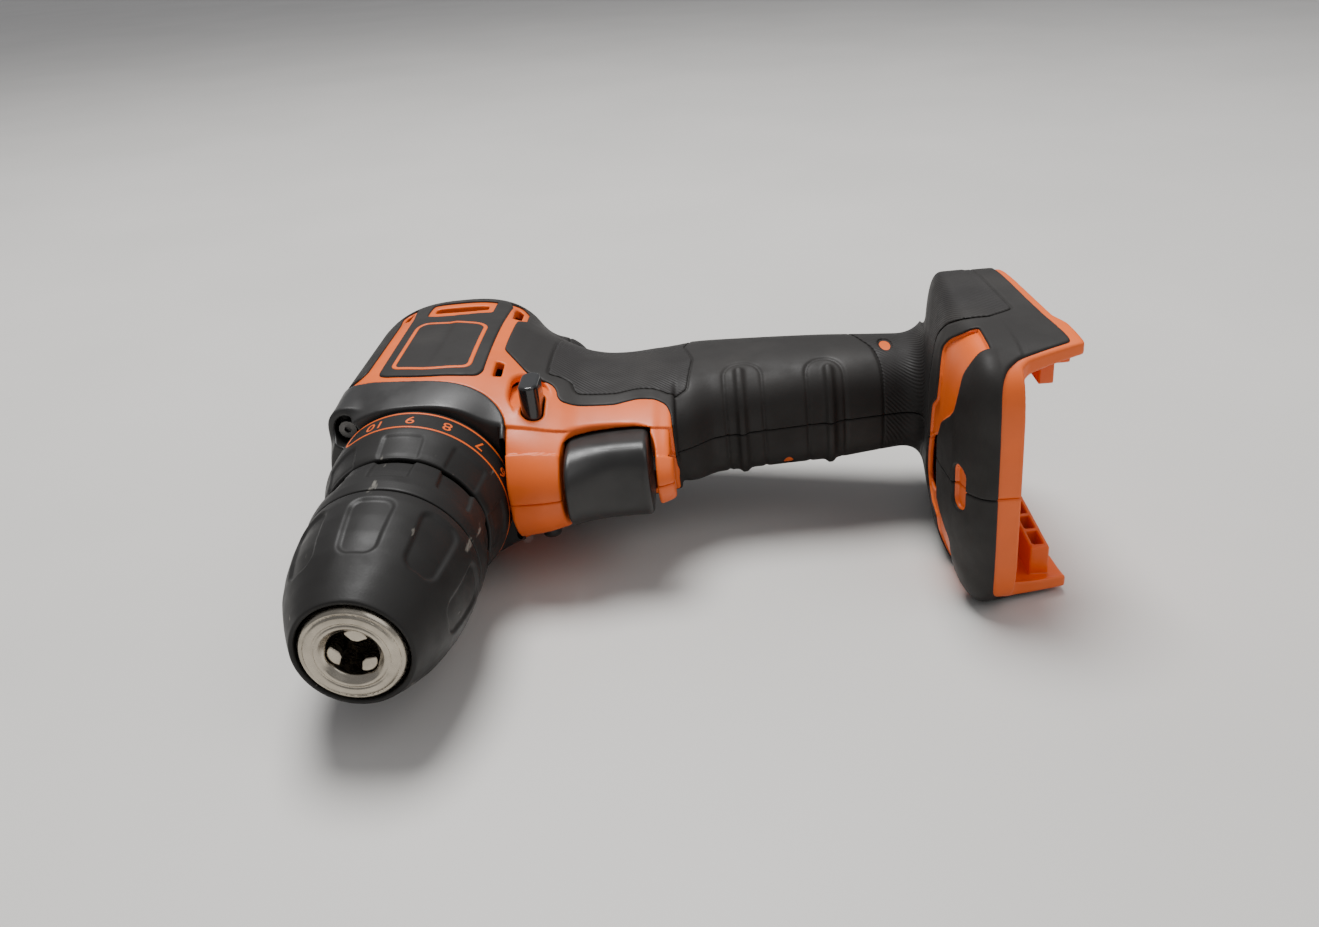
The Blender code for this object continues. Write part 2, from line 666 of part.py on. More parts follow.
def clutch():
    """Torque collar with the nut, spring and pressure ring that it works."""
    profile = [(COLLAR_FRONT, 20.6), (COLLAR_FRONT, 22.6), (-53.0, 23.4), (-58.0, 24.4),
               (-62.6, 25.6), (-72.4, COLLAR_RADIUS), (COLLAR_BACK, 25.2), (COLLAR_BACK, 20.6)]
    collar = turned("clutch_collar", profile, HARD_PLASTIC, COLLAR_BODY, 36)
    for i in range(9):
        tool = box(f"cut_collar_facet_{i + 1}", (-61.0, 23.3, -5.0), (-53.6, 28.0, 5.0))
        tool.rotation_euler = (math.radians(40.0 * i + 10.0), 0.0, 0.0)
        cut(collar, tool)
    nut = [(-56.0, 13.8), (-56.0, 20.2), (-59.6, 20.2), (-59.6, 13.8)]
    turned("clutch_nut", nut, DARK_METAL, SPINDLE_AXIS, 28)
    washer = [(-72.6, 13.8), (-72.6, 20.0), (-74.4, 20.0), (-74.4, 13.8)]
    turned("clutch_washer", washer, STEEL_METAL, SPINDLE_AXIS, 28)
    coil("clutch_spring", -60.6, -71.6, 16.9, 0.8, 3, SPINDLE_AXIS)


def coil(name, front, back, radius, wire, turns, parent):
    """A compression spring about the local Z axis, as a bevelled curve."""
    steps = 10
    curve = bpy.data.curves.new(name, "CURVE")
    curve.dimensions = "3D"
    curve.bevel_depth = wire * MM
    curve.bevel_resolution = 1
    curve.use_fill_caps = True
    line = curve.splines.new("POLY")
    line.points.add(turns * steps)
    for i, point in enumerate(line.points):
        t = i / (turns * steps)
        angle = 2.0 * math.pi * turns * t
        height = front + (back - front) * t
        point.co = (radius * math.cos(angle) * MM, radius * math.sin(angle) * MM, height * MM, 1.0)
    made = bpy.data.objects.new(name, curve)
    PARTS.objects.link(made)
    curve.materials.append(STEEL_METAL)
    made.parent = parent
    weld = made.modifiers.new("Weld", "WELD")
    weld.merge_threshold = 0.00001
    return made


# ---------------------------------------------------------------- motor

def motor():
    """Can, magnets, rotor, shaft, fan, pinion and end cap."""
    can = turned("motor_can", [(MOTOR_FRONT, 3.6), (MOTOR_FRONT, MOTOR_RADIUS), (MOTOR_BACK, MOTOR_RADIUS),
                               (MOTOR_BACK, 16.8), (MOTOR_FRONT - 1.6, 16.8), (MOTOR_FRONT - 1.6, 3.6)],
                 DARK_METAL, SPINDLE_AXIS, 28)
    for i in range(4):
        centre = polar(0.0, 10.5, 90.0 * i + 45.0)
        cut(can, rod(f"cut_can_vent_{i + 1}", (-100.0, centre.y, centre.z), (-108.4, centre.y, centre.z),
                     3.4, segments=8))
    magnet_ring = [(-113.0, 13.8), (-113.0, 16.4), (-147.0, 16.4), (-147.0, 13.8)]
    for i, low in enumerate((2.0, -22.0)):
        magnet = turned(f"magnet_{i + 1}", magnet_ring, DARK_METAL, SPINDLE_AXIS, 32)
        boolean(magnet, box(f"cut_magnet_{i + 1}", (-150.0, -20.0, low), (-110.0, 20.0, low + 20.0)),
                "INTERSECT")
    turned("motor_shaft", [(-84.0, 0.0), (-84.0, 1.6), (-161.6, 1.6), (-161.6, 0.0)], STEEL_METAL,
           ROTOR_BODY, 16)
    turned("armature", [(-114.0, 1.9), (-114.0, 13.3), (-146.0, 13.3), (-146.0, 6.0), (-153.0, 6.0),
                        (-153.0, 1.9)], COPPER_METAL, ROTOR_BODY, 24)
    turned("motor_fan", [(-109.0, 1.9), (-109.0, 13.0), (-111.6, 13.0), (-111.6, 1.9)], HARD_PLASTIC,
           ROTOR_BODY, 24)
    gear("motor_pinion", -84.3, -92.4, SUN_RADIUS, SUN_RADIUS - 1.0, 9, 1.9, STEEL_METAL,
                 ROTOR_BODY_EMPTY)
    turned("motor_end_cap", [(MOTOR_BACK - GAP, 2.0), (MOTOR_BACK - GAP, 17.6), (-161.0, 16.6),
                             (-161.0, 2.0)], HARD_PLASTIC, SPINDLE_AXIS, 28)


# ---------------------------------------------------------------- trigger, switch and wiring

def trigger():
    """Finger trigger with a hollowed front, on a stem that enters the switch."""
    middle = (TRIGGER_TOP + TRIGGER_BOTTOM) / 2.0
    half = (TRIGGER_TOP - TRIGGER_BOTTOM) / 2.0
    rings = []
    for t in (1.0, 0.86, 0.6, 0.25, -0.25, -0.6, -0.86, -1.0):
        z = middle + half * t
        edge = 1.4 if abs(t) == 1.0 else 0.0
        front = TRIGGER_FRONT - 1.9 * (1.0 - t * t) - edge
        reach = front - (-76.0)
        ring = []
        for u, v in superellipse(24, 1.0, 1.0, 2.0):
            exponent = 2.3 if u > 0.0 else 8.0
            length = reach if u > 0.0 else -76.0 - TRIGGER_BACK
            x = -76.0 + math.copysign(abs(u) ** (2.0 / exponent), u) * length
            y = math.copysign(abs(v) ** (2.0 / exponent), v) * (TRIGGER_HALF_WIDTH - edge * 0.5)
            ring.append((x, y, z))
        rings.append(ring)
    frame = empty("trigger_slide", DRILL, (0.0, 0.0, 0.0))
    made = add_object("trigger", loft_mesh("trigger", rings), HARD_PLASTIC, frame)
    join(made, rod("cut_trigger_stem", (-82.0, 0.0, -54.0), (-98.0, 0.0, -54.0), 2.0, segments=12))
    return made


def switch_module():
    made = box("switch_module", (-121.0, -9.5, -67.0), (-93.6, 9.5, -44.4), HARD_PLASTIC)
    return cut(made, rod("cut_switch_stem", (-90.0, 0.0, -54.0), (-108.0, 0.0, -54.0), 2.5, segments=12))


def direction_button():
    """Bar through the housing with a capsule end on each side and a pin for the lever."""
    made = capsule_bar("direction_button", 14.0, BUTTON_LEFT_END, 0.0, GLOSSY_PLASTIC)
    right = capsule_bar("cut_button_right", BUTTON_RIGHT_END, -14.0, 0.0)
    centre = BUTTON_FRONT - BUTTON_LENGTH / 2.0
    bar = box("cut_button_bar", (centre - 2.6, -16.0, BUTTON_Z - 1.6), (centre + 2.6, 16.0, BUTTON_Z + 1.6))
    pin = rod("cut_button_pin", (centre, 3.0, BUTTON_Z), (centre, 3.0, -41.2), 1.4, segments=12)
    return join(made, right, bar, pin)


def direction_lever():
    """Forked lever on top of the switch, swung by the direction button's pin."""
    pivot = Vector((-97.5, 0.0, -40.6))
    pin = Vector((BUTTON_FRONT - BUTTON_LENGTH / 2.0, 3.0, -40.6))
    frame = empty("direction_lever_pivot", DRILL, pivot)
    frame.rotation_euler = (0.0, 0.0, math.atan2(pin.y - pivot.y, pin.x - pivot.x))
    reach = (pin - pivot).length
    hub = rod("direction_lever", (0.0, 0.0, -3.4), (0.0, 0.0, 0.6), 4.6, HARD_PLASTIC, frame, 20)
    arms = []
    for i, side in enumerate((1.0, -1.0)):
        near, far = sorted((side * 2.2, side * 4.4))
        arms.append(box(f"cut_lever_arm_{i + 1}", (0.5, near, -1.0), (reach + 2.4, far, 0.6), parent=frame))
    return join(hub, *arms)


def wire(name, points, radius, finish):
    """A lead laid along a few points, smoothed by its curve."""
    curve = bpy.data.curves.new(name, "CURVE")
    curve.dimensions = "3D"
    curve.bevel_depth = radius * MM
    curve.bevel_resolution = 1
    curve.resolution_u = 3
    curve.use_fill_caps = True
    line = curve.splines.new("BEZIER")
    line.bezier_points.add(len(points) - 1)
    for point, place in zip(line.bezier_points, points):
        point.co = Vector(place) * MM
        point.handle_left_type = "AUTO"
        point.handle_right_type = "AUTO"
    made = bpy.data.objects.new(name, curve)
    PARTS.objects.link(made)
    curve.materials.append(finish)
    made.parent = DRILL
    weld = made.modifiers.new("Weld", "WELD")
    weld.merge_threshold = 0.00001
    return made


def wiring():
    for i, side in enumerate((1.0, -1.0)):
        wire(f"motor_lead_{i + 1}", [(-162.2, side * 9.0, -8.0), (-160.0, side * 9.5, -21.0),
                                     (-144.0, side * 9.0, -25.0), (-128.0, side * 7.0, -33.0),
                                     (-126.0, side * 6.0, -44.0), (-121.6, side * 5.5, -50.0)], 0.9, LEAD)
        wire(f"battery_lead_{i + 1}", [(-112.0, side * 5.5, -67.5), (-112.5, side * 5.5, -85.0),
                                       (-113.0, side * 5.5, -110.0), (-110.0, side * 5.5, -130.0),
                                       (-109.5, side * 6.0, -142.0), (-115.0, side * 6.5, -149.5)], 0.9, LEAD)


# ---------------------------------------------------------------- foot

def foot():
    """Lamp and battery terminals."""
    box("lamp_lens", (-66.6, -8.6, -149.6), (-58.9, 8.6, -146.4), LENS)
    box("lamp_board", (-66.6, -8.6, -151.4), (-58.9, 8.6, -150.0), HARD_PLASTIC)
    box("terminal_block", (-123.2, -14.6, -171.0), (-106.8, 14.6, -150.6), HARD_PLASTIC)
    for i, y in enumerate((-9.0, 0.0, 9.0)):
        box(f"terminal_blade_{i + 1}", (-106.5, y - 0.4, -169.0), (-92.0, y + 0.4, -162.5), BRASS_METAL)


# ---------------------------------------------------------------- assembly

def empty(name, parent, location):
    made = bpy.data.objects.new(name, None)
    bpy.context.scene.collection.objects.link(made)
    made.parent = parent
    made.location = Vector(location) * MM
    return made


def spindle_frame(name):
    """An empty on the spindle axis whose local Z points out of the chuck."""
    made = empty(name, DRILL, (0.0, 0.0, 0.0))
    made.rotation_euler = (0.0, math.radians(90.0), 0.0)
    return made


def lay_on_side():
    """Turn the drill onto its right side so that the head and the foot both rest, then centre it."""
    lying = Matrix(((0.0, 0.0, -1.0), (-1.0, 0.0, 0.0), (0.0, 1.0, 0.0))).to_4x4()
    tilt = math.atan2(FOOT_HALF_WIDTH - HEAD_HALF_WIDTH, -FOOT_ROOF)
    DRILL.matrix_world = Matrix.Rotation(-tilt, 4, "Y") @ lying
    bpy.context.view_layer.update()
    graph = bpy.context.evaluated_depsgraph_get()
    low = Vector((1e9, 1e9, 1e9))
    high = Vector((-1e9, -1e9, -1e9))
    for part in PARTS.objects:
        shown = part.evaluated_get(graph)
        mesh = shown.to_mesh()
        for vertex in mesh.vertices:
            place = shown.matrix_world @ vertex.co
            for axis in range(3):
                low[axis] = min(low[axis], place[axis])
                high[axis] = max(high[axis], place[axis])
        shown.to_mesh_clear()
    shift = Vector((-(low.x + high.x) / 2.0, -(low.y + high.y) / 2.0, -low.z))
    DRILL.matrix_world = Matrix.Translation(shift) @ DRILL.matrix_world
    bpy.context.view_layer.update()


clear_scene()
PARTS = new_collection("cordless_drill")
CUTTERS = new_collection("cutters")

ORANGE_PLASTIC = material("orange_plastic", ORANGE, 0.45)
SOFT_PLASTIC = material("soft_overmould", SOFT_BLACK, 0.75)
HARD_PLASTIC = material("black_plastic", HARD_BLACK, 0.5)
GLOSSY_PLASTIC = material("glossy_black_plastic", HARD_BLACK, 0.18)
STEEL_METAL = material("steel", STEEL, 0.3, 1.0)
DARK_METAL = material("dark_steel", DARK_STEEL, 0.45, 1.0)
BRASS_METAL = material("brass", BRASS, 0.3, 1.0)
COPPER_METAL = material("copper", COPPER, 0.35, 1.0)
LEAD = material("lead_insulation", (0.30, 0.02, 0.015, 1.0), 0.5)
LENS = material("lamp_lens", (0.05, 0.05, 0.06, 1.0), 0.1)

DRILL = bpy.data.objects.new("drill", None)
bpy.context.scene.collection.objects.link(DRILL)
SPINDLE_AXIS = spindle_frame("spindle_axis")
SPINDLE_BODY = spindle_frame("spindle_turn")
SPINDLE_BODY_EMPTY = empty("spindle_turn_parts", DRILL, (0.0, 0.0, 0.0))
SLEEVE_BODY = spindle_frame("sleeve_turn")
COLLAR_BODY = spindle_frame("collar_turn")
ROTOR_BODY = spindle_frame("rotor_turn")
ROTOR_BODY_EMPTY = empty("rotor_turn_parts", DRILL, (0.0, 0.0, 0.0))

housing()
grips()
nose_cover()
housing_screws()
chuck_body()
for number, direction in enumerate(JAW_AZIMUTHS):
    jaw(number + 1, direction)
jaw_nut()
chuck_sleeve()
chuck_rear_ring()
chuck_screw()
spindle()
gear_case()
bearing("front_bearing", -54.0, -59.0)
bearing("rear_bearing", -70.0, -75.0)
ring_gear()
planet_carrier()
planets()
clutch()
motor()
trigger()
switch_module()
direction_button()
direction_lever()
wiring()
foot()
lay_on_side()
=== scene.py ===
"""Looks of a cordless drill that lies on its right side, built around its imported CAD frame.

Shapes are worked out in the tool's own frame, in millimetres: +X runs out of the chuck
along the spindle, +Y is the tool's left side, +Z its top.  The frame's joints say where
that is in the row frame.  The moulded parts are implicit surfaces (a field that is
negative inside) turned into meshes; the chuck sleeve, its rear ring and the collar are
turned profiles with dents.
"""

import json
import math

import bpy
import numpy as np
from mathutils import Matrix, Vector
from numpy import clip, exp, hypot, maximum, minimum, where


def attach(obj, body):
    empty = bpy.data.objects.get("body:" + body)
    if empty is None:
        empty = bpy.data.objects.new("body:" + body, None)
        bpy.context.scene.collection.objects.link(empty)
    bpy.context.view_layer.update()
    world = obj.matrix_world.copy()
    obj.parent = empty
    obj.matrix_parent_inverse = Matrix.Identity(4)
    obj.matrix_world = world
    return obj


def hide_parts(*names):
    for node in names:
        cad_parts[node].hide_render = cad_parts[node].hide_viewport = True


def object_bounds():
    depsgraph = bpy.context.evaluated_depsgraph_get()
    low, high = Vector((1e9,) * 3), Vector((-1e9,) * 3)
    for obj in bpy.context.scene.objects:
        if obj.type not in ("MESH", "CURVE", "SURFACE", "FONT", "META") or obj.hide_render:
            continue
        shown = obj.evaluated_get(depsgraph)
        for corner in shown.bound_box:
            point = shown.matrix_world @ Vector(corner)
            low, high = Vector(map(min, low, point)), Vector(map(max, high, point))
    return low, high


MM = 0.001
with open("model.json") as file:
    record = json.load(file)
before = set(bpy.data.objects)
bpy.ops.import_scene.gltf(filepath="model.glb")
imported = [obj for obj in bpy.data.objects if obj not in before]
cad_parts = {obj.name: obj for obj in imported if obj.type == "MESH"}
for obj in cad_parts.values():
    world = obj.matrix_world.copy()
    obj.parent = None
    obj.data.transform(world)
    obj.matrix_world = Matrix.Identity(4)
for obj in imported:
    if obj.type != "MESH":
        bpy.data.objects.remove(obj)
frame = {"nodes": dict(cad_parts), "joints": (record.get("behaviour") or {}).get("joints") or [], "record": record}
CAD_BOX = [list(corner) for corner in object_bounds()]


def tool_matrix():
    """The tool's own frame, in the row frame."""
    joints = {joint["name"]: joint for joint in frame["joints"]}
    forward = Vector(joints["spindle_spin"]["axis"])
    left = -Vector(joints["button_push"]["axis"])
    top = Vector(joints["lever_turn"]["axis"])
    turn = Matrix((forward, left, top)).transposed().to_4x4()
    return Matrix.Translation(joints["spindle_spin"]["pos_m"]) @ turn


TOOL = tool_matrix()

# Driving dimensions, in millimetres
HEAD_HALF_WIDTH = 29.5
HEAD_HALF_HEIGHT = 30.0
HEAD_FRONT = -74.6
HEAD_DOME = -142.0        # where the rounded rear end of the motor housing starts
HEAD_BACK = -174.0
FOOT_HALF_WIDTH = 37.0
FOOT_MIDDLE = -87.0
FOOT_REACH = 41.6         # from the middle of the foot to its front
FOOT_BACK_REACH = 41.4
FOOT_TOP = -144.3
FOOT_SHOULDER = -155.0    # where the foot has its full width
FOOT_ROOF = -160.2
WALL = 2.6                # of the clamshell
SKIN = 0.6                # how far the soft overmould stands proud of the clamshell
COLLAR_CLEARANCE = 26.4   # radius kept free around the torque collar
CHIN_TOP = -24.9          # the chin starts here, under the collar
BAND_RADIUS = 25.8        # of the collar's number band, at its back edge
NOSE_RADIUS = 12.9        # of the steel ring around the chuck's mouth
SLEEVE_BACK = -33.9
RING_FRONT = -34.3
RING_BACK = -50.3
COLLAR_FRONT = -51.4
COLLAR_BACK = -74.0
TRIGGER_HALF_WIDTH = 11.5
BUTTON_X, BUTTON_Z = -83.5, -33.0
BUTTON_HALF_SPAN = 3.2    # from the middle of the button to the middle of its round end
PARTING = 0.07            # half of the gap between the two clamshell halves
FINE = 0.46               # mesh pitch of the large mouldings
STEP_SCALE = 1.0


# ---- fields


def smooth_min(a, b, radius):
    blend = clip(0.5 + 0.5 * (b - a) / radius, 0, 1)
    return b + (a - b) * blend - radius * blend * (1 - blend)


def smooth_max(a, b, radius):
    return -smooth_min(-a, -b, radius)


def cut(solid, tool, radius):
    """The solid with the tool's shape taken away, and the new edge rounded."""
    return smooth_max(solid, -tool, radius)


def track(table, column, margin=0.25):
    """A smooth curve through one column of a table of sections, as a fast lookup."""
    rows = sorted(table)
    at = np.array([row[0] for row in rows], float)
    value = np.array([row[column] for row in rows], float)
    gap = np.diff(at)
    rise = np.diff(value) / gap
    slope = np.concatenate([rise[:1], np.zeros(len(rise) - 1), rise[-1:]])
    for i in range(1, len(rise)):
        if rise[i - 1] * rise[i] > 0:
            near, far = 2 * gap[i] + gap[i - 1], gap[i] + 2 * gap[i - 1]
            slope[i] = (near + far) / (near / rise[i - 1] + far / rise[i])
    dense = np.arange(at[0], at[-1] + margin, margin)
    i = clip(np.searchsorted(at, dense, side="right") - 1, 0, len(gap) - 1)
    t = clip((dense - at[i]) / gap[i], 0, 1)
    curve = (
        (1 + 2 * t) * (1 - t) ** 2 * value[i]
        + t * (1 - t) ** 2 * gap[i] * slope[i]
        + t * t * (3 - 2 * t) * value[i + 1]
        + t * t * (t - 1) * gap[i] * slope[i + 1]
    )
    return lambda spot: np.interp(spot, dense, curve)


def box_field(point, low, high, radius=0.0):
    """Distance to a box with rounded edges."""
    middle = [(a + b) / 2 for a, b in zip(low, high)]
    half = [(b - a) / 2 - radius for a, b in zip(low, high)]
    over = [abs(p - m) - h for p, m, h in zip(point, middle, half)]
    outside = np.sqrt(sum(maximum(o, 0) ** 2 for o in over))
    return outside + minimum(maximum(maximum(*over[:2]), over[2]), 0) - radius


def rod_field(point, start, end, radius):
    """Distance to a rod with round ends."""
    start, end = np.array(start, float), np.array(end, float)
    axis = end - start
    offset = [p - s for p, s in zip(point, start)]
    along = sum(o * a for o, a in zip(offset, axis)) / (axis @ axis)
    along = clip(along, 0, 1)
    return np.sqrt(sum((o - along * a) ** 2 for o, a in zip(offset, axis))) - radius


# ---- outlines


def rounded(points, radius, steps=4):
    """A closed outline with its corners rounded."""
    result = []
    count = len(points)
    for i in range(count):
        corner = np.array(points[i], float)
        before = np.array(points[i - 1], float) - corner
        after = np.array(points[(i + 1) % count], float) - corner
        reach = min(radius, 0.45 * hypot(*before), 0.45 * hypot(*after))
        start = corner + before / hypot(*before) * reach
        end = corner + after / hypot(*after) * reach
        for t in np.linspace(0, 1, steps + 1):
            result.append((1 - t) ** 2 * start + 2 * t * (1 - t) * corner + t * t * end)
    return np.array(result)


class Outline:
    """Signed distance to a flat outline, kept on a fine grid.

    Most are in the side view (x, z); the ones that say so are in the plan view (x, y).
    """

    LOW = np.array((-184.0, -184.0))
    SHAPE = (390, 590)
    PITCH = 0.4

    def __init__(self, points=None, radius=0.0, grid=None):
        if grid is None:
            grid = self.measure(rounded(points, radius) if radius else np.array(points, float))
        self.grid = grid

    def measure(self, ring):
        axes = [self.LOW[k] + self.PITCH * np.arange(self.SHAPE[k]) for k in (0, 1)]
        x, z = np.meshgrid(*axes, indexing="ij")
        nearest = np.full(x.shape, np.inf)
        inside = np.zeros(x.shape, bool)
        for (x0, z0), (x1, z1) in zip(ring, np.roll(ring, -1, axis=0)):
            dx, dz = x1 - x0, z1 - z0
            length = dx * dx + dz * dz
            if length == 0:
                continue
            t = clip(((x - x0) * dx + (z - z0) * dz) / length, 0, 1)
            nearest = minimum(nearest, (x - x0 - t * dx) ** 2 + (z - z0 - t * dz) ** 2)
            if z0 != z1:
                crosses = (z0 > z) != (z1 > z)
                inside ^= crosses & (x < x0 + (z - z0) * dx / dz)
        return where(inside, -1.0, 1.0) * np.sqrt(nearest)

    def __call__(self, x, z):
        u = clip((x - self.LOW[0]) / self.PITCH, 0, self.SHAPE[0] - 1.001)
        v = clip((z - self.LOW[1]) / self.PITCH, 0, self.SHAPE[1] - 1.001)
        i, j = u.astype(int), v.astype(int)
        u, v = u - i, v - j
        low = self.grid[i, j] * (1 - u) + self.grid[i + 1, j] * u
        high = self.grid[i, j + 1] * (1 - u) + self.grid[i + 1, j + 1] * u
        return low * (1 - v) + high * v

    def __or__(self, other):
        return Outline(grid=minimum(self.grid, other.grid))


# ---- the body

# z, front x, widest x, back x, half width, exponent ahead of and behind the widest place
UPPER_HANDLE = (
    (-10.0, -62.0, -118.0, -158.0, 26.5, 2.1, 2.6),
    (-22.0, -61.5, -116.0, -155.0, 26.5, 2.1, 2.6),
    (-28.0, -61.0, -112.0, -152.0, 25.5, 2.1, 2.6),
    (-34.0, -60.8, -110.0, -149.0, 23.5, 2.1, 2.5),
    (-40.4, -61.5, -109.0, -145.0, 21.0, 2.1, 2.4),
    (-46.0, -62.0, -110.0, -142.5, 19.0, 2.1, 2.3),
    (-52.0, -63.0, -110.0, -142.0, 18.0, 2.1, 2.2),
    (-60.0, -64.0, -111.0, -143.0, 17.3, 2.1, 2.2),
    (-66.0, -65.2, -112.0, -144.4, 17.2, 2.1, 2.2),
    (-69.0, -66.0, -112.6, -144.7, 17.0, 2.0, 2.2),
    (-73.0, -68.0, -113.4, -145.0, 16.6, 1.95, 2.2),
)
GRIP = (
    (-58.0, -84.0, -111.0, -142.6, 16.0, 2.0, 2.2),
    (-68.0, -85.0, -113.0, -144.5, 16.6, 2.1, 2.2),
    (-73.0, -86.6, -115.0, -145.0, 17.1, 2.5, 2.2),
    (-75.5, -87.8, -116.0, -145.3, 17.2, 2.8, 2.2),
    (-78.0, -89.5, -117.0, -145.2, 17.2, 3.0, 2.3),
    (-84.0, -93.8, -118.0, -144.5, 17.2, 3.0, 2.3),
    (-100.0, -96.0, -118.5, -141.6, 17.2, 3.0, 2.3),
    (-116.0, -97.8, -118.0, -139.0, 17.1, 3.0, 2.3),
    (-134.0, -100.0, -117.5, -136.0, 16.4, 2.6, 2.3),
    (-150.0, -102.0, -117.5, -134.0, 15.5, 2.4, 2.3),
)
UPPER_TRACKS = [track(UPPER_HANDLE, column) for column in range(1, 7)]
GRIP_TRACKS = [track(GRIP, column) for column in range(1, 7)]


def handle_part(x, y, z, tracks):
    """Distance to the side of one stretch of the handle."""
    front, widest, back, half, ahead_power, behind_power = (f(z) for f in tracks)
    ahead = x > widest
    along = where(ahead, (x - widest) / (front - widest), (widest - x) / (widest - back))
    power = where(ahead, ahead_power, behind_power)
    level = maximum(along, 1e-6) ** power + (abs(y) / half) ** power
    level = level ** (1 / power)
    reach = hypot(x - widest, y)
    return reach - reach / maximum(level, 1e-6)


def handle_field(x, y, z):
    """The handle with the chin and the trigger guard, whose notch is cut later."""
    upper = smooth_max(handle_part(x, y, z, UPPER_TRACKS), -71.9 - z, 1.2)
    grip = maximum(handle_part(x, y, z, GRIP_TRACKS), z + 60.0)
    handle = smooth_min(upper, grip, 1.2)
    return smooth_max(handle, maximum(FOOT_ROOF - z, z + 8.0), 1.0)


def foot_field(x, y, z):
    """The foot: a slab that falls gently to the back, with a rounded top edge."""
    top = FOOT_TOP + 0.11 * minimum(x + 82.0, 0) - 0.05 * maximum(x + 70.0, 0)
    rise = maximum(z - FOOT_SHOULDER, 0) / maximum(top - FOOT_SHOULDER, 0.5)
    along = abs(x - FOOT_MIDDLE) / FOOT_REACH
    across = abs(y) / FOOT_HALF_WIDTH
    plan = along**6 + across**6
    shoulder = where(x > FOOT_MIDDLE, along**12, along**6) + across**6
    share = clip(rise, 0, 1)
    level = ((1 - share) * plan + share * shoulder + 1e-9) ** 0.46 + rise**2.8
    height = maximum(top - FOOT_SHOULDER, 0.5)
    scale = FOOT_HALF_WIDTH + (height - FOOT_HALF_WIDTH) * share**2
    return smooth_max((level ** (1 / 2.8) - 1) * scale, FOOT_ROOF - z, 0.5)


def foot_edge(x, y):
    """Distance outside the foot's plan outline, in plan view."""
    along = (x - FOOT_MIDDLE) / where(x > FOOT_MIDDLE, FOOT_REACH, FOOT_BACK_REACH)
    level = (along**6 + (y / FOOT_HALF_WIDTH) ** 6 + 1e-9) ** (1 / 6)
    reach = hypot(x - FOOT_MIDDLE, y)
    return reach - reach / level


def head_field(x, y, z):
    """The motor housing: a barrel with a rounded rear end and a slightly drawn-in nose."""
    dome = clip((HEAD_DOME - x) / (HEAD_DOME - HEAD_BACK), 0, 1)
    shrink = (1 - minimum(dome**2.5, 0.9999)) ** 0.4
    nose = clip((x + 100.0) / 25.4, 0, 1.2) ** 2
    half_width = HEAD_HALF_WIDTH * shrink - 3.5 * nose
    half_height = HEAD_HALF_HEIGHT * shrink - 3.8 * nose
    power = 3.0 - 0.4 * nose - 0.5 * dome
    level = (abs(y) / half_width) ** power + (abs(z) / half_height) ** power
    level = (level + 1e-9) ** (1 / power)
    reach = hypot(y, z)
    side = (reach - reach / level) * where(x < HEAD_DOME, clip(1.1 - dome, 0.25, 1), 1.0)
    return smooth_max(smooth_max(side, x - HEAD_FRONT, 0.8), HEAD_BACK + 0.6 - x, 0.8)


def tang_field(x, y, z):
    """The hump behind the top of the handle that the hand's web sits under."""
    lump = rod_field((x, y * 0.8, z), (-152.5, 0, -23.5), (-149.0, 0, -32.0), 11.0)
    groove = abs(hypot(x + 138.0, z + 18.0) - 20.5) - 0.5
    return cut(lump, groove, 0.8)


def body_field(x, y, z):
    body = smooth_min(head_field(x, y, z), handle_field(x, y, z), 7.0)
    body = smooth_min(body, tang_field(x, y, z), 4.0)
    body = smooth_min(body, foot_field(x, y, z), 8.0)
    collar_space = minimum(hypot(y, z) - COLLAR_CLEARANCE, CHIN_TOP - z)
    collar_space = maximum(collar_space, HEAD_FRONT + 0.2 - x)
    return cut(body, collar_space, 1.0)


# ---- outlines of the colours

NOSE_COVER = Outline(
    [
        (-60, 45), (-97, 45), (-96.5, 30), (-94, 22), (-91.3, 16), (-88.2, 8.4), (-87, -0.6),
        (-85.9, -9.4), (-84.7, -15.4), (-83.2, -19.8), (-80.4, -23.4), (-76.4, -25.8), (-60, -26.4),
    ],
    3.0,
)
FRONT_ORANGE = Outline(
    [
        (-40, -5), (-40, -72.3), (-75, -72.3), (-84.8, -71.5), (-88.4, -70.2), (-90.2, -67.4),
        (-90.7, -62.1), (-89.5, -58.8), (-87.9, -55.5), (-87.1, -49.4), (-86.2, -44), (-86.4, -40.6),
        (-88.3, -39.3), (-91.4, -38.8), (-93.8, -37.2), (-94.4, -34.4), (-97.2, -29.7),
        (-105.6, -24.0), (-108.6, -22.1), (-134.3, -22.1), (-136.6, -24.6), (-149.2, -23.5),
        (-156.2, -19.8), (-153.6, -16.7), (-150.6, -18.3), (-93.2, -18.3), (-90.3, -16.9),
        (-89.3, -12), (-89.1, -4), (-89.8, 3), (-91.4, 10), (-93.4, 12.7), (-139.4, 13),
        (-152, 14.4), (-153, 16.6), (-147, 18.6), (-138.6, 17.4), (-99.5, 17.8), (-96.6, 19.6),
        (-97.4, 24), (-98.6, 45), (-60, 45),
    ],
    1.3,
)
VENT_FRAME = Outline(
    [(-139.2, -13.4), (-137.4, -5), (-138.0, 5), (-139.6, 8.4), (-152.2, 8.4), (-152.2, -13.2)], 1.6
)
VENT_SLOT = Outline(
    [(-143.2, -11.2), (-141.8, -4.6), (-142.4, 4.8), (-143.2, 6.7), (-147.4, 6.7), (-147.6, -11)], 1.2
)
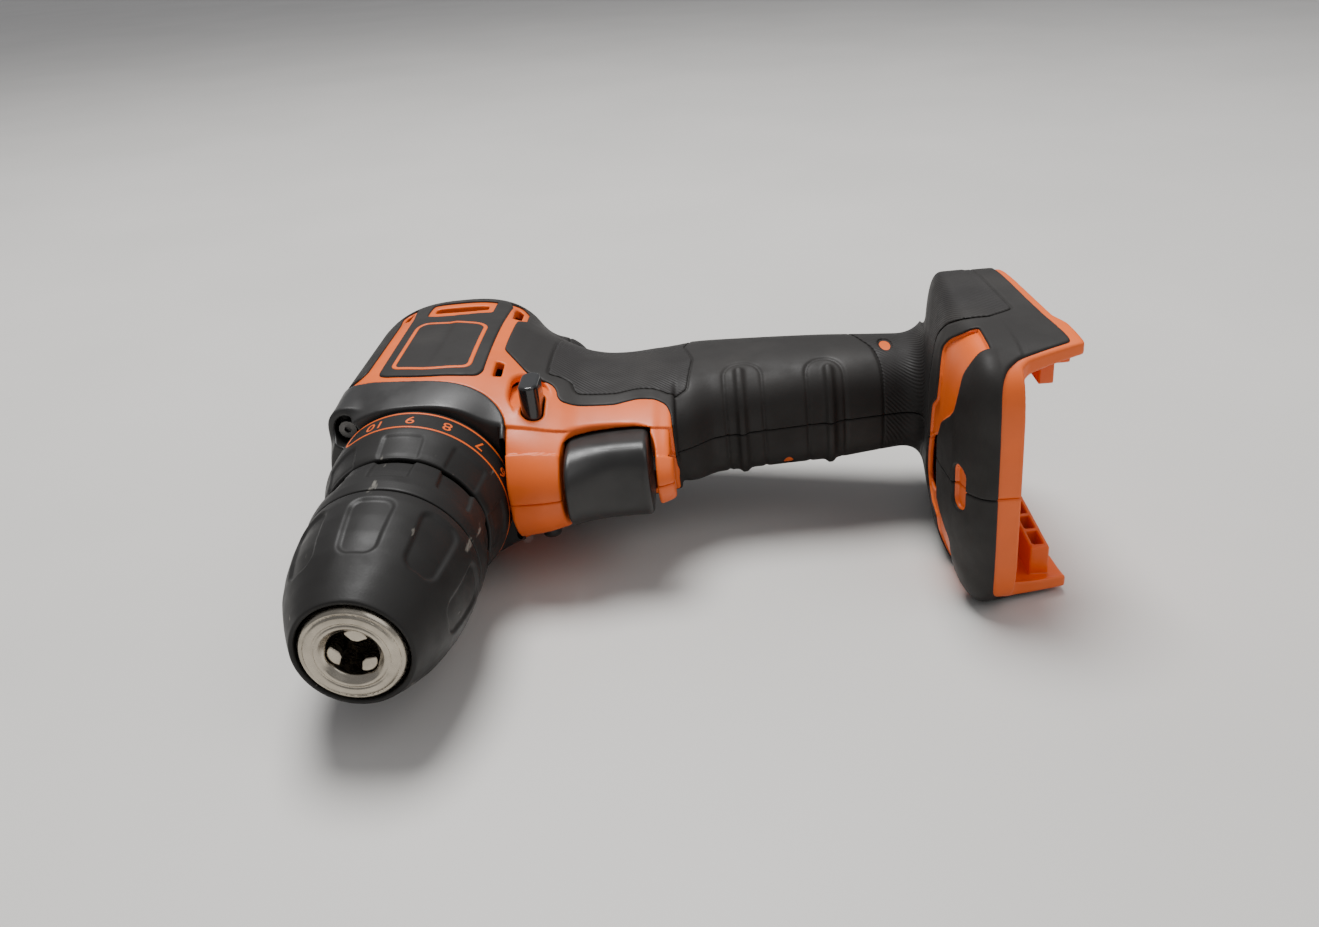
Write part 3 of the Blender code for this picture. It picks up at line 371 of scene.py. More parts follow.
SIDE_VENTS = (
    Outline([(-137.4, -19.9), (-137.6, -22.7), (-148.2, -21.9), (-150.4, -20), (-148.8, -18.9)], 0.7)
    | Outline([(-92.0, -20.9), (-92.6, -23.3), (-99.8, -23.3), (-100.6, -20.9)], 0.6)
    | Outline([(-140.6, 15.0), (-141.2, 17.2), (-148.0, 17.4), (-149.4, 15.9), (-147.4, 14.8)], 0.5)
)
PANEL_FRAME = Outline(
    [
        (-93.9, -14.1), (-93.0, -2.5), (-95.6, 8.9), (-129.0, 9.0), (-131.6, 7.0), (-130.2, -2),
        (-127.0, -12), (-124.4, -14.1),
    ],
    2.6,
)
GRIP_PAD = Outline(
    [
        (-98.2, -35.4), (-98.3, -39.4), (-97.0, -42.2), (-93.6, -43.2), (-91.4, -44.4), (-92.4, -51),
        (-93.0, -56), (-94.8, -59.4), (-95.7, -63), (-94.8, -68), (-92.6, -71), (-96, -76.6),
        (-113, -78.4), (-124, -75.6), (-133, -77), (-165, -80), (-165, -35.4),
    ],
    1.6,
)
BASE_PAD_SIDE = Outline(
    [
        (-60, -133.4), (-103, -133.7), (-107, -133.1), (-112.6, -131.9), (-118, -129.6), (-126, -127),
        (-150, -125), (-150, -163.5), (-116, -163.0), (-80.4, -165.4), (-74.8, -155.5), (-68, -151),
    ],
    1.8,
)
# Plan view (x, y) of the same pad
BASE_PAD_PLAN = Outline(
    [
        (-86.4, -9), (-85.4, 12), (-84.6, 22), (-86.4, 26.4), (-86.2, 29.4), (-82.8, 33.2),
        (-75.8, 37.4), (-60, 48), (-160, 48), (-160, -9),
    ],
    1.8,
)


def pad_outline(x, y, z):
    """Negative over the two textured pads of each half."""
    base = maximum(BASE_PAD_SIDE(x, z), BASE_PAD_PLAN(x, abs(y)))
    return minimum(GRIP_PAD(x, z), base)


TRIGGER_NOTCH = Outline(
    [
        (-40, -40.9), (-70.8, -40.9), (-76.6, -43.4), (-79.0, -49), (-80.0, -56), (-80.0, -62),
        (-78.6, -65.4), (-74, -67.0), (-40, -67.4),
    ],
    2.4,
)
BUTTON_RECESS = Outline(
    [
        (-79, -36.6), (-90, -37.2), (-95.2, -34.5), (-97.2, -29.6), (-93.4, -26.2), (-84.0, -26.0),
        (-78.0, -29.6), (-76.6, -33),
    ],
    2.5,
)


def rib_fields(x, z):
    """The two raised finger ribs, and the shallow groove that runs round each."""
    ribs, grooves = 99.0, 99.0
    for rib_z, groove_z, end, groove_end, groove_half in (
        (-91.8, -92.7, -103.5, -102.0, 5.6),
        (-118.2, -117.0, -102.6, -101.6, 5.6),
    ):
        rib = hypot(minimum(x - end, 0), z - rib_z) - 1.3
        ribs = minimum(ribs, rib)
        loop = abs(hypot(minimum(x - groove_end, 0), z - groove_z) - groove_half)
        grooves = minimum(grooves, loop)
    return ribs, grooves


# ---- from a field to a mesh


def sample(field, low, step, counts):
    """The field on a grid.  Only the blocks that the surface may pass through are worked out."""
    block = 8
    blocks = np.ceil(counts / block).astype(int)
    centres = [low[k] + step * (block * (np.arange(blocks[k]) + 0.5) - 0.5) for k in range(3)]
    coarse = field(*np.meshgrid(*centres, indexing="ij"))
    grid = np.sign(coarse).astype(np.float32) * 9.0
    grid = grid.repeat(block, 0).repeat(block, 1).repeat(block, 2)
    near = np.argwhere(abs(coarse) < step * block * 2.2)
    offsets = np.arange(block)
    for part in np.array_split(near, max(1, len(near) // 1500)):
        corner = part * block
        index = [corner[:, k, None] + offsets[None, :] for k in range(3)]
        i = np.broadcast_to(index[0][:, :, None, None], (len(part), block, block, block))
        j = np.broadcast_to(index[1][:, None, :, None], i.shape)
        k = np.broadcast_to(index[2][:, None, None, :], i.shape)
        grid[i, j, k] = field(low[0] + step * i, low[1] + step * j, low[2] + step * k)
    return grid


def crossing_cells(grid, low, step):
    """A vertex in each cell that the surface crosses, and the cell's place in the grid."""
    inside = grid < 0
    total = np.zeros(tuple(n - 1 for n in grid.shape), np.int8)
    corners = [(i, j, k) for i in (0, 1) for j in (0, 1) for k in (0, 1)]
    size = total.shape
    for i, j, k in corners:
        total += inside[i : i + size[0], j : j + size[1], k : k + size[2]]
    cells = np.argwhere((total > 0) & (total < 8))
    place = np.zeros((len(cells), 3))
    hits = np.zeros(len(cells))
    for axis in range(3):
        for start in (c for c in corners if c[axis] == 0):
            end = list(start)
            end[axis] = 1
            a = grid[tuple((cells + start).T)]
            b = grid[tuple((cells + end).T)]
            crossed = (a < 0) != (b < 0)
            t = where(crossed, a / where(crossed, a - b, 1), 0)
            spot = np.array(start) + t[:, None] * (np.array(end) - start)
            place += where(crossed[:, None], spot, 0)
            hits += crossed
    return cells, low + step * (cells + place / hits[:, None])


def quads_between(grid, cells):
    """A face around each grid edge that the surface crosses."""
    number = np.full(grid.shape, -1, np.int32)
    number[tuple(cells.T)] = np.arange(len(cells))
    inside = grid < 0
    faces = []
    for axis in range(3):
        side, other = [k for k in range(3) if k != axis]
        start = np.moveaxis(inside, axis, 0)
        edge = np.moveaxis(start[:-1] != start[1:], 0, axis)
        spots = np.argwhere(edge)
        spots = spots[(spots[:, side] > 0) & (spots[:, other] > 0)]
        ring = []
        for back_side, back_other in ((1, 1), (0, 1), (0, 0), (1, 0)):
            cell = spots.copy()
            cell[:, side] -= back_side
            cell[:, other] -= back_other
            ring.append(number[tuple(cell.T)])
        quads = np.stack(ring, axis=1)
        flip = inside[tuple(spots.T)] == (axis == 1)
        quads[flip] = quads[flip][:, ::-1]
        faces.append(quads)
    return np.concatenate(faces)


def settle(field, vertices, step, rounds=2):
    """Moves vertices onto the surface itself, along the field's slope."""
    reach = 0.25 * step
    for _ in range(rounds):
        value = field(*vertices.T)
        slope = np.empty_like(vertices)
        for axis in range(3):
            shift = np.zeros(3)
            shift[axis] = reach
            slope[:, axis] = (field(*(vertices + shift).T) - field(*(vertices - shift).T)) / (2 * reach)
        size = maximum((slope**2).sum(1), 0.05)
        move = -value[:, None] * slope / size[:, None]
        length = np.linalg.norm(move, axis=1, keepdims=True)
        vertices = vertices + move * minimum(1, 0.4 * step / maximum(length, 1e-9))
    return vertices


def mesh_object(name, vertices, faces, body, slot, replaced=(), look=None):
    """An object in the row frame from points in the tool's frame, smooth-shaded and riding.

    It has the slot's own finish, unless look names another.
    """
    mesh = bpy.data.meshes.new(name)
    vertices = np.asarray(vertices, float) * MM
    turn = np.array(TOOL.to_3x3())
    placed = vertices @ turn.T + np.array(TOOL.translation)
    mesh.from_pydata(placed.tolist(), [], faces if isinstance(faces, list) else faces.tolist())
    mesh.validate()
    mesh.shade_smooth()
    mesh.update()
    mesh.materials.append(FINISHES[look or slot])
    made = bpy.data.objects.new(name, mesh)
    bpy.context.scene.collection.objects.link(made)
    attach(made, body)
    if replaced:
        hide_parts(*replaced)


def moulded(name, field, low, high, step, body, slot, replaced=(), look=None):
    """A moulded piece: the mesh of a field inside a box."""
    step *= STEP_SCALE
    low = np.array(low, float) - 2 * step
    counts = np.ceil((np.array(high) - low) / step).astype(int) + 3
    grid = sample(field, low, step, counts)
    cells, vertices = crossing_cells(grid, low, step)
    faces = quads_between(grid, cells)
    vertices = settle(field, vertices, step)
    mesh_object(name, vertices, faces, body, slot, replaced, look)


def turned(name, corners, corner_radius, body, node, dent, pitch=0.5, segments=360):
    """A turned shell of chuck plastic from a closed (x, radius) outline, in place of one node.

    dent says how much radius is lost.
    """
    profile = rounded(corners, corner_radius, 3)
    ring = []
    for start, end in zip(profile, np.roll(profile, -1, axis=0)):
        pieces = max(1, int(hypot(*(end - start)) / (pitch * STEP_SCALE)))
        ring += [start + (end - start) * i / pieces for i in range(pieces)]
    ring = np.array(ring)
    segments = int(segments / STEP_SCALE)
    angle = 2 * math.pi * np.arange(segments) / segments
    x, turn = np.meshgrid(ring[:, 0], angle, indexing="ij")
    radius = np.repeat(ring[:, 1][:, None], segments, axis=1)
    radius = radius - dent(x, radius, np.degrees(turn))
    points = np.stack([x, radius * np.cos(turn), radius * np.sin(turn)], axis=-1).reshape(-1, 3)
    i, j = np.meshgrid(np.arange(len(ring)), np.arange(segments), indexing="ij")
    after_i, after_j = (i + 1) % len(ring), (j + 1) % segments
    corners = [(i, j), (i, after_j), (after_i, after_j), (after_i, j)]
    faces = np.stack([a * segments + b for a, b in corners], axis=-1).reshape(-1, 4)
    after = np.roll(profile, -1, axis=0)
    if np.sum(profile[:, 0] * after[:, 1] - after[:, 0] * profile[:, 1]) > 0:
        faces = faces[:, ::-1]
    mesh_object(name, points, faces, body, "chuck_plastic", (node,))


# ---- materials


def new_material(name, colour, roughness, metallic=0.0, coat=0.0):
    made = bpy.data.materials.new(name)
    made.use_nodes = True
    shader = made.node_tree.nodes["Principled BSDF"]
    shader.inputs["Base Color"].default_value = (*colour, 1)
    shader.inputs["Roughness"].default_value = roughness
    shader.inputs["Metallic"].default_value = metallic
    shader.inputs["Coat Weight"].default_value = coat
    return made, shader


def noise(tree, scale, detail=3.0, stretch=None):
    """Noise over the object's own coordinates, in cycles per metre."""
    texture = tree.nodes.new("ShaderNodeTexNoise")
    texture.inputs["Scale"].default_value = scale
    texture.inputs["Detail"].default_value = detail
    place = tree.nodes.new("ShaderNodeTexCoord")
    source = place.outputs["Object"]
    if stretch:
        scaled = tree.nodes.new("ShaderNodeMapping")
        scaled.inputs["Scale"].default_value = stretch
        tree.links.new(source, scaled.inputs["Vector"])
        source = scaled.outputs["Vector"]
    tree.links.new(source, texture.inputs["Vector"])
    return texture.outputs["Fac"]


def ramp(tree, source, stops):
    """A colour ramp with (position, colour) stops."""
    made = tree.nodes.new("ShaderNodeValToRGB")
    band = made.color_ramp
    while len(band.elements) < len(stops):
        band.elements.new(0.5)
    for element, (position, colour) in zip(band.elements, stops):
        element.position = position
        element.color = (*colour, 1)
    tree.links.new(source, made.inputs["Fac"])
    return made.outputs["Color"]


def spread(tree, source, low, high, start=0.3, end=0.7):
    """Maps the middle of a noise to the range from low to high."""
    made = tree.nodes.new("ShaderNodeMapRange")
    for name, value in zip(("From Min", "From Max", "To Min", "To Max"), (start, end, low, high)):
        made.inputs[name].default_value = value
    tree.links.new(source, made.inputs["Value"])
    return made.outputs["Result"]


def dull(shader, level):
    shader.inputs["Specular IOR Level"].default_value = level


def tint(tree, shader, source, stops):
    """Base colour that follows a noise."""
    tree.links.new(ramp(tree, source, stops), shader.inputs["Base Color"])


def uneven(tree, shader, source, low, high):
    """Roughness that follows a noise."""
    tree.links.new(spread(tree, source, low, high), shader.inputs["Roughness"])


def bump(tree, shader, source, strength, distance):
    made = tree.nodes.new("ShaderNodeBump")
    made.inputs["Strength"].default_value = strength
    made.inputs["Distance"].default_value = distance
    tree.links.new(source, made.inputs["Height"])
    tree.links.new(made.outputs["Normal"], shader.inputs["Normal"])


def shade(colour, factor):
    return tuple(channel * factor for channel in colour)


def moulded_plastic(name, colour, roughness, grain=2600.0, coat=0.0, variation=0.10):
    """Plastic with a fine moulded grain and faint wear."""
    made, shader = new_material(name, colour, roughness, coat=coat)
    tree = made.node_tree
    stops = [(0.3, shade(colour, 1 - variation)), (0.7, shade(colour, 1 + variation))]
    tint(tree, shader, noise(tree, 45.0, 4.0), stops)
    uneven(tree, shader, noise(tree, 160.0), roughness - 0.06, roughness + 0.08)
    bump(tree, shader, noise(tree, grain, 2.0), 0.25, 0.00006)
    return made


def dusty_rubber(name, colour, roughness, dust, weave=False):
    """Black overmould with dusty patches and fine scuffs."""
    made, shader = new_material(name, colour, roughness)
    dull(shader, 0.3)
    tree = made.node_tree
    patches = spread(tree, noise(tree, 38.0, 6.0), 0.0, 1.0, 0.46, 0.78)
    tint(tree, shader, patches, [(0.0, colour), (1.0, dust)])
    uneven(tree, shader, noise(tree, 120.0, 4.0), roughness - 0.1, roughness + 0.1)
    if weave:
        grain = tree.nodes.new("ShaderNodeTexWave")
        grain.bands_direction = "DIAGONAL"
        grain.inputs["Scale"].default_value = 420.0
        grain.inputs["Distortion"].default_value = 0.6
        place = tree.nodes.new("ShaderNodeTexCoord")
        tree.links.new(place.outputs["Object"], grain.inputs["Vector"])
        bump(tree, shader, grain.outputs["Fac"], 0.4, 0.0002)
    else:
        bump(tree, shader, noise(tree, 1500.0, 3.0), 0.3, 0.0001)
    return made


def scuffed_plastic(name, colour, roughness, scuff, threshold):
    """Chuck plastic with pale scratches running round it."""
    made, shader = new_material(name, colour, roughness)
    dull(shader, 0.25)
    tree = made.node_tree
    scratches = noise(tree, 260.0, 8.0, (1.0, 0.25, 1.0))
    marks = spread(tree, scratches, 0.0, 1.0, threshold, threshold + 0.05)
    tint(tree, shader, marks, [(0.0, colour), (1.0, scuff)])
    uneven(tree, shader, noise(tree, 110.0, 5.0), roughness - 0.1, roughness + 0.12)
    bump(tree, shader, noise(tree, 1800.0, 3.0), 0.2, 0.00008)
    return made


def metal(name, colour, roughness, stretch=(1.0, 1.0, 1.0)):
    """Metal with machining marks and uneven polish."""
    made, shader = new_material(name, colour, roughness, metallic=1.0)
    tree = made.node_tree
    stops = [(0.3, shade(colour, 0.72)), (0.7, colour)]
    tint(tree, shader, noise(tree, 190.0, 5.0, stretch), stops)
    uneven(tree, shader, noise(tree, 420.0, 4.0, stretch), roughness - 0.08, roughness + 0.14)
    bump(tree, shader, noise(tree, 900.0, 2.0, stretch), 0.08, 0.00004)
    return made


def clear_plastic(name):
    made = moulded_plastic(name, (0.55, 0.55, 0.5), 0.2, coat=0.5)
    made.node_tree.nodes["Principled BSDF"].inputs["Transmission Weight"].default_value = 0.5
    return made


ORANGE = (0.86, 0.135, 0.010)
GRIP_BLACK, GRIP_DUST = (0.019, 0.017, 0.0155), (0.036, 0.033, 0.030)
PAD_BLACK, PAD_DUST = (0.018, 0.016, 0.015), (0.034, 0.031, 0.028)
CHUCK_BLACK, CHUCK_SCUFF = (0.016, 0.015, 0.014), (0.16, 0.15, 0.13)


def make_finishes():
    """A procedural material for each of the record's material slots, and one for the pads."""
    return {
        "orange_plastic": moulded_plastic("orange_plastic_look", ORANGE, 0.42),
        "soft_grip": dusty_rubber("soft_grip_look", GRIP_BLACK, 0.6, GRIP_DUST),
        "grip_texture": dusty_rubber("grip_texture_look", PAD_BLACK, 0.62, PAD_DUST, True),
        "chuck_plastic": scuffed_plastic("chuck_plastic_look", CHUCK_BLACK, 0.48, CHUCK_SCUFF, 0.68),
        "black_plastic": moulded_plastic("black_plastic_look", (0.02, 0.019, 0.018), 0.38),
        "glossy_black": moulded_plastic("glossy_black_look", (0.012, 0.012, 0.012), 0.2, coat=0.4),
        "lamp_lens": clear_plastic("lamp_lens_look"),
        "steel": metal("steel_look", (0.50, 0.45, 0.37), 0.24, (1.0, 4.0, 1.0)),
        "dark_steel": metal("dark_steel_look", (0.16, 0.155, 0.15), 0.42),
        "copper": metal("copper_look", (0.72, 0.32, 0.15), 0.3, (1.0, 1.0, 6.0)),
        "brass": metal("brass_look", (0.72, 0.52, 0.24), 0.3),
        "lead_insulation": moulded_plastic("lead_insulation_look", (0.5, 0.03, 0.02), 0.45),
    }


FINISHES = make_finishes()


# ---- clamshell and overmould

WALL_PLATE = Outline(
    [
        (-40, -156), (-49.2, -158.6), (-52.4, -162), (-57.2, -176.8), (-69, -176), (-75, -174),
        (-118, -171), (-124, -156),
    ],
    0.8,
)
FOOT_BAND = Outline(
    [
        (-30, -154.3), (-46, -154.3), (-48, -154.9), (-50.2, -156.4), (-52.6, -159.6), (-57.6, -173.4),
        (-60, -173.4), (-74, -171.6), (-87, -170.6), (-116, -168.9), (-119.5, -169.0), (-121, -183),
        (-30, -183),
    ],
    1.0,
)
# Plan view (x, y) of the openings in the top of the foot's skin
FOOT_PANEL = Outline(
    [
        (-82.4, 1.0), (-80.2, 11.4), (-75.0, 15.8), (-75.2, 21.6), (-78.4, 29.0), (-76.0, 32.0),
        (-70.6, 35.6), (-67.2, 41), (-57.8, 41), (-56.4, 34), (-57.4, 30.2), (-56.9, 25.2),
        (-57.6, 20.2), (-60.0, 17.6), (-67.0, 12.6), (-70.8, 5.6),
    ],
    1.0,
)
FOOT_PANEL_RIGHT = Outline(
    [
        (-71.6, -12.0), (-89.6, -16.4), (-88.4, -19.4), (-76.0, -22.0), (-78.4, -29.0), (-76.0, -32.0),
        (-70.6, -35.6), (-68.2, -41), (-57.4, -41), (-57.4, -33), (-58.9, -30.2), (-58.6, -19.0),
        (-66.0, -16.0),
    ],
    1.0,
)
LAMP_SLOT = Outline(
    [
        (-71.9, 6.7), (-81.7, 1.0), (-86.4, -6.2), (-90.4, -15.2), (-88.6, -17.2), (-79.6, -15.1),
        (-72.4, -11.4), (-71.4, -3),
    ],
    1.0,
)
# x, z and depth (y) of each screw's seat
HOUSING_SCREWS = (
    (-98.5, 25.2, -13.5), (-148.0, 24.0, -13.5), (-165.6, -2.0, -14.0),
    (-136.0, -40.0, -9.0), (-104.5, -73.0, -8.5), (-117.0, -138.5, -12.0),
)


CHANNEL_WALL = 3.8        # thickness of the walls beside the battery
TRIGGER_WINDOW = (-92.0, -12.2, -65.8), (-60.0, 12.2, -41.4)
LATCH_OPENING = (-123.6, -15.0, -170.0), (-106.4, 15.0, -154.0)
LEFT_RAIL = (-112.0, 25.0, -170.2), (-58.5, 34.0, -166.4)
LEFT_STOP = (-72.0, 29.5, -174.6), (-60.5, 34.0, -169.8)
RIGHT_RAIL = (-112.0, -34.0, -172.6), (-59.5, -24.5, -167.4)
CELL_COUNT, CELL_PITCH, CELL_LENGTH = 6, 8.2, 6.8


def channel_walls(x, y, z):
    """The two walls under the foot that guide the battery."""
    edge = foot_edge(x, y)
    sheet = maximum(maximum(edge, -CHANNEL_WALL - edge), 22.0 - abs(y))
    return smooth_max(WALL_PLATE(x, z), sheet, 0.8)


def shaped_body(x, y, z):
    """The outside of the whole housing, with ribs and grooves."""
    shape = minimum(body_field(x, y, z), channel_walls(x, y, z))
    ribs, grooves = rib_fields(x, z)
    on_handle = (z < -80) & (z > -128)
    crest = where(on_handle, 1.25 * exp(-((maximum(ribs + 0.9, 0) / 1.1) ** 2)), 0)
    furrow = where(on_handle, 0.45 * exp(-((grooves / 0.55) ** 2)), 0)
    return shape - crest + furrow


def button_reach(x, z):
    """Distance from the middle line of the button's capsule shape."""
    return hypot(maximum(abs(x - BUTTON_X) - BUTTON_HALF_SPAN, 0), z - BUTTON_Z)


def button_hollow(x, y, z):
    """The hollow around each end of the direction button, and the slot that the bar runs in."""
    hollow = maximum(BUTTON_RECESS(x, z), 20.6 - abs(y))
    return minimum(hollow, button_reach(x, z) - 3.1)


def vent_openings(x, y, z):
    vents = minimum(VENT_SLOT(x, z), SIDE_VENTS(x, z))
    return maximum(vents, 12.0 - abs(y))


def rails(x, y, z):
    """Battery rails inside the channel walls; the right one is ribbed into open cells."""
    point = (x, y, z)
    left = minimum(box_field(point, *LEFT_RAIL, 0.4), box_field(point, *LEFT_STOP, 0.4))
    right = box_field(point, *RIGHT_RAIL, 0.4)
    for i in range(CELL_COUNT):
        front = -61.6 - CELL_PITCH * i
        cell = box_field(point, (front - CELL_LENGTH, -32.4, -171.4), (front, -20.0, -168.6), 0.3)
        right = maximum(right, -cell)
    return minimum(left, right)


def bumper_reach(x, y, half_span):
    """Distance from the middle line of the oval on the front of the foot."""
    return hypot(maximum(abs(y) - half_span, 0), x + 53.4)


def clamshell_field(x, y, z):
    """Both halves of the housing shell with their openings."""
    body = body_field(x, y, z)
    walls = minimum(body, channel_walls(x, y, z))
    notch = TRIGGER_NOTCH(x, z)
    solid = maximum(walls, -body - WALL)
    solid = minimum(solid, maximum(body, abs(notch) - 2.4))
    for screw_x, screw_z, seat in HOUSING_SCREWS:
        post = hypot(x - screw_x, z - screw_z)
        solid = minimum(solid, maximum(maximum(post - 4.6, body), y - 9.0))
        solid = maximum(solid, -maximum(post - 3.4, y - seat))
    seat = maximum(BUTTON_RECESS(x, z) - 1.8, abs(abs(y) - 19.5) - 1.5)
    solid = minimum(solid, maximum(seat, body))
    solid = cut(solid, notch, 1.2)
    solid = maximum(solid, -box_field((x, y, z), *TRIGGER_WINDOW))
    solid = cut(solid, button_hollow(x, y, z), 1.0)
    solid = cut(solid, vent_openings(x, y, z), 0.5)
    solid = cut(solid, maximum(LAMP_SLOT(x, y), -149.0 - z), 0.5)
    panel = minimum(FOOT_PANEL(x, y), FOOT_PANEL_RIGHT(x, y)) + 0.5
    panel = maximum(maximum(panel, -0.9 - body), -153.6 - z)
    solid = cut(solid, panel, 0.4)
    oval = bumper_reach(x, y, 3.4) - 2.6
    solid = cut(solid, maximum(maximum(oval, -1.2 - body), -152 - z), 0.5)
    solid = maximum(solid, -box_field((x, y, z), *LATCH_OPENING))
    return minimum(solid, rails(x, y, z))


def half(field, side):
    """One half of a moulding, with the parting edge slightly rounded."""
    return lambda x, y, z: smooth_max(field(x, y, z), PARTING - side * y, 0.35)


def clamshell(x, y, z):
    """The shell without its nose, which is a separate cover."""
    return smooth_max(clamshell_field(x, y, z), 0.12 - NOSE_COVER(x, z), 0.3)


def black_region(x, y, z):
    """Negative where the soft overmould covers the shell."""
    orange = minimum(FRONT_ORANGE(x, z), FOOT_BAND(x, z))
    orange = minimum(orange, where(abs(y) > 15, VENT_FRAME(x, z), 99))
    orange = minimum(orange, NOSE_COVER(x, z) - 0.2)
    foot = minimum(FOOT_PANEL(x, y), FOOT_PANEL_RIGHT(x, y))
    foot = minimum(foot, LAMP_SLOT(x, y) - 0.6)
    foot = minimum(foot, maximum(abs(x + 71.6) - 1.1, abs(y + 5.0) - 15.5))
    foot = minimum(foot, bumper_reach(x, y, 3.6) - 2.9)
    orange = minimum(orange, smooth_max(foot, -153.8 - z, 0.8))
    for low_x, low_y, low_z in ((-100.6, -13.0, -105.0), (-114.5, 16.4, -136.6)):
        spot = hypot((x - low_x) / 3.0, (y - low_y) / 3.0)
        spot = np.sqrt(spot**2 + ((z - low_z) / 1.5) ** 2)
        orange = minimum(orange, (spot - 1) * 1.6)
    return -orange


def cut_screws(skin, x, y, z, radius):
    """A skin with a hole over each screw, on the right side only."""
    for screw_x, screw_z, _ in HOUSING_SCREWS:
        skin = cut(skin, maximum(hypot(x - screw_x, z - screw_z) - radius, y), 0.4)
    return skin


def overmould_field(x, y, z):
    shape = shaped_body(x, y, z)
    pad = pad_outline(x, y, z)
    sunk = 0.42 * clip(0.5 - pad / 0.5, 0, 1)
    skin = smooth_max(shape - SKIN + sunk, -0.9 - shape, 0.1)
    skin = smooth_max(skin, black_region(x, y, z), 0.5)
    skin = maximum(skin, -maximum(foot_edge(x, y) + 0.8, z + 160.0))
    skin = cut(skin, TRIGGER_NOTCH(x, z), 0.5)
    skin = cut(skin, button_hollow(x, y, z), 0.5)
    skin = cut(skin, vent_openings(x, y, z), 0.4)
    return cut_screws(skin, x, y, z, 3.6)


def pad_field(x, y, z):
    shape = shaped_body(x, y, z)
    pad = pad_outline(x, y, z) + 0.45
    skin = smooth_max(shape - SKIN, smooth_max(pad, -0.6 - shape, 0.1), 0.3)
    skin = smooth_max(skin, black_region(x, y, z) + 0.6, 0.3)
    return cut_screws(skin, x, y, z, 3.7)


def panel_frame_field(x, y, z):
    """The raised orange line around the empty panel on the side of the head."""
    line = abs(PANEL_FRAME(x, z)) - 0.65
    body = body_field(x, y, z)
    return smooth_max(maximum(body - SKIN - 0.15, -0.5 - body), line, 0.25)


def build_housing():
    for side, label in ((1, "left"), (-1, "right")):
        edge = sorted((0.0, side * (FOOT_HALF_WIDTH + 1.2)))
        low, high = (-176.0, edge[0], -177.8), (-44.0, edge[1], 31.5)
        moulded(
            f"clamshell_{label}", half(clamshell, side), low, high, FINE,
            "housing", "orange_plastic", (f"housing_{label}",),
        )
        moulded(
            f"overmould_{label}", half(overmould_field, side), low, high, FINE,
            "housing", "soft_grip", (f"grip_{label}",),
        )
        moulded(
            f"grip_pad_{label}", half(pad_field, side), (-160.0, edge[0], -172.0),
            (-78.0, edge[1], -30.0), FINE, "housing", "soft_grip", look="grip_texture",
        )
        moulded(
            f"panel_frame_{label}", half(panel_frame_field, side), (-134.0, edge[0], -17.0),
            (-90.0, edge[1], 12.0), 0.3, "housing", "orange_plastic",
        )


def nose_field(x, y, z):
    """The black cover around the front of the gear case, with two screw pockets."""
    body = body_field(x, y, z)
    boss = hypot(abs(y) - 19.4, z - 19.2)
    outside = smooth_min(body - 0.35, smooth_max(boss - 6.4, abs(x + 89.0) - 10.4, 1.0), 2.5)
    solid = smooth_max(outside, -body - WALL, 0.3)
    disc = maximum(maximum(outside, HEAD_FRONT - 3.0 - x), 22.6 - hypot(y, z))
    solid = minimum(solid, disc)
    solid = minimum(solid, maximum(maximum(boss - 5.8, outside), -92.0 - x))
    solid = cut(solid, maximum(boss - 4.2, -83.0 - x), 0.5)
    solid = cut(solid, maximum(boss - 1.4, -92.0 - x), 0.2)
    return smooth_max(solid, NOSE_COVER(x, z), 0.4)


def build_nose():
    moulded(
        "nose_shroud", nose_field, (-98.0, -29.0, -28.0), (-72.0, 29.0, 30.0), 0.45,
        "housing", "black_plastic", ("nose_cover",),
    )


# ---- controls


TRIGGER_FACE = track(
    (
        (-68, -65.4), (-65.2, -65.6), (-62, -66.0), (-56, -65.8), (-50, -64.4), (-46, -62.4),
        (-42, -59.4), (-38, -57.0),
    ),
    1,
)


def trigger_field(x, y, z):
    """Finger trigger with a hollowed face, on a stem that enters the switch."""
    front = TRIGGER_FACE(z)
    ahead = maximum(x + 73.0, 0) / (front + 73.0)
    plan = (ahead**2.4 + (abs(y) / TRIGGER_HALF_WIDTH) ** 2.4 + 1e-9) ** (1 / 2.4)
    hollow = 1.1 * exp(-((y / 6.0) ** 2) - ((z + 56.0) / 6.5) ** 2)
    side = (plan - 1) * 10.0 + where(x > -70, hollow, 0)
    block = smooth_max(side, -84.0 - x, 0.6)
    block = smooth_max(block, abs(z + 53.6) - 11.6, 1.8)
    stem = maximum(hypot(y, z + 54.0) - 2.0, maximum(-98.0 - x, x + 82.0))
    return minimum(block, stem)


def button_field(x, y, z):
    """The direction button: a bar right through the housing with a capsule at each end."""
    capsule = button_reach(x, z) - 2.8
    ends = smooth_max(capsule, maximum(abs(y - 3.3) - 24.3, 14.0 - abs(y)), 0.9)
    bar = box_field((x, y, z), (-86.1, -16.0, -34.6), (-80.9, 16.0, -31.4), 0.3)
    pin = rod_field((x, y, z), (BUTTON_X, 3.0, BUTTON_Z), (BUTTON_X, 3.0, -40.0), 1.4)
    return minimum(minimum(ends, bar), pin)


def build_controls():
    moulded(
        "trigger_blade", trigger_field, (-99.0, -12.2, -66.0), (-56.5, 12.2, -41.5), 0.4,
        "trigger", "black_plastic", ("trigger",),
    )
    moulded(
        "button_bar", button_field, (-90.5, -22.0, -42.0), (-76.5, 28.5, -29.5), 0.3,
        "direction_button", "glossy_black", ("direction_button",),
    )


# ---- chuck and collar


def step_down(distance, width):
    """One inside an outline (distance below zero), nothing outside, smooth between."""
    t = clip(0.5 - distance / width, 0, 1)
    return t * t * (3 - 2 * t)


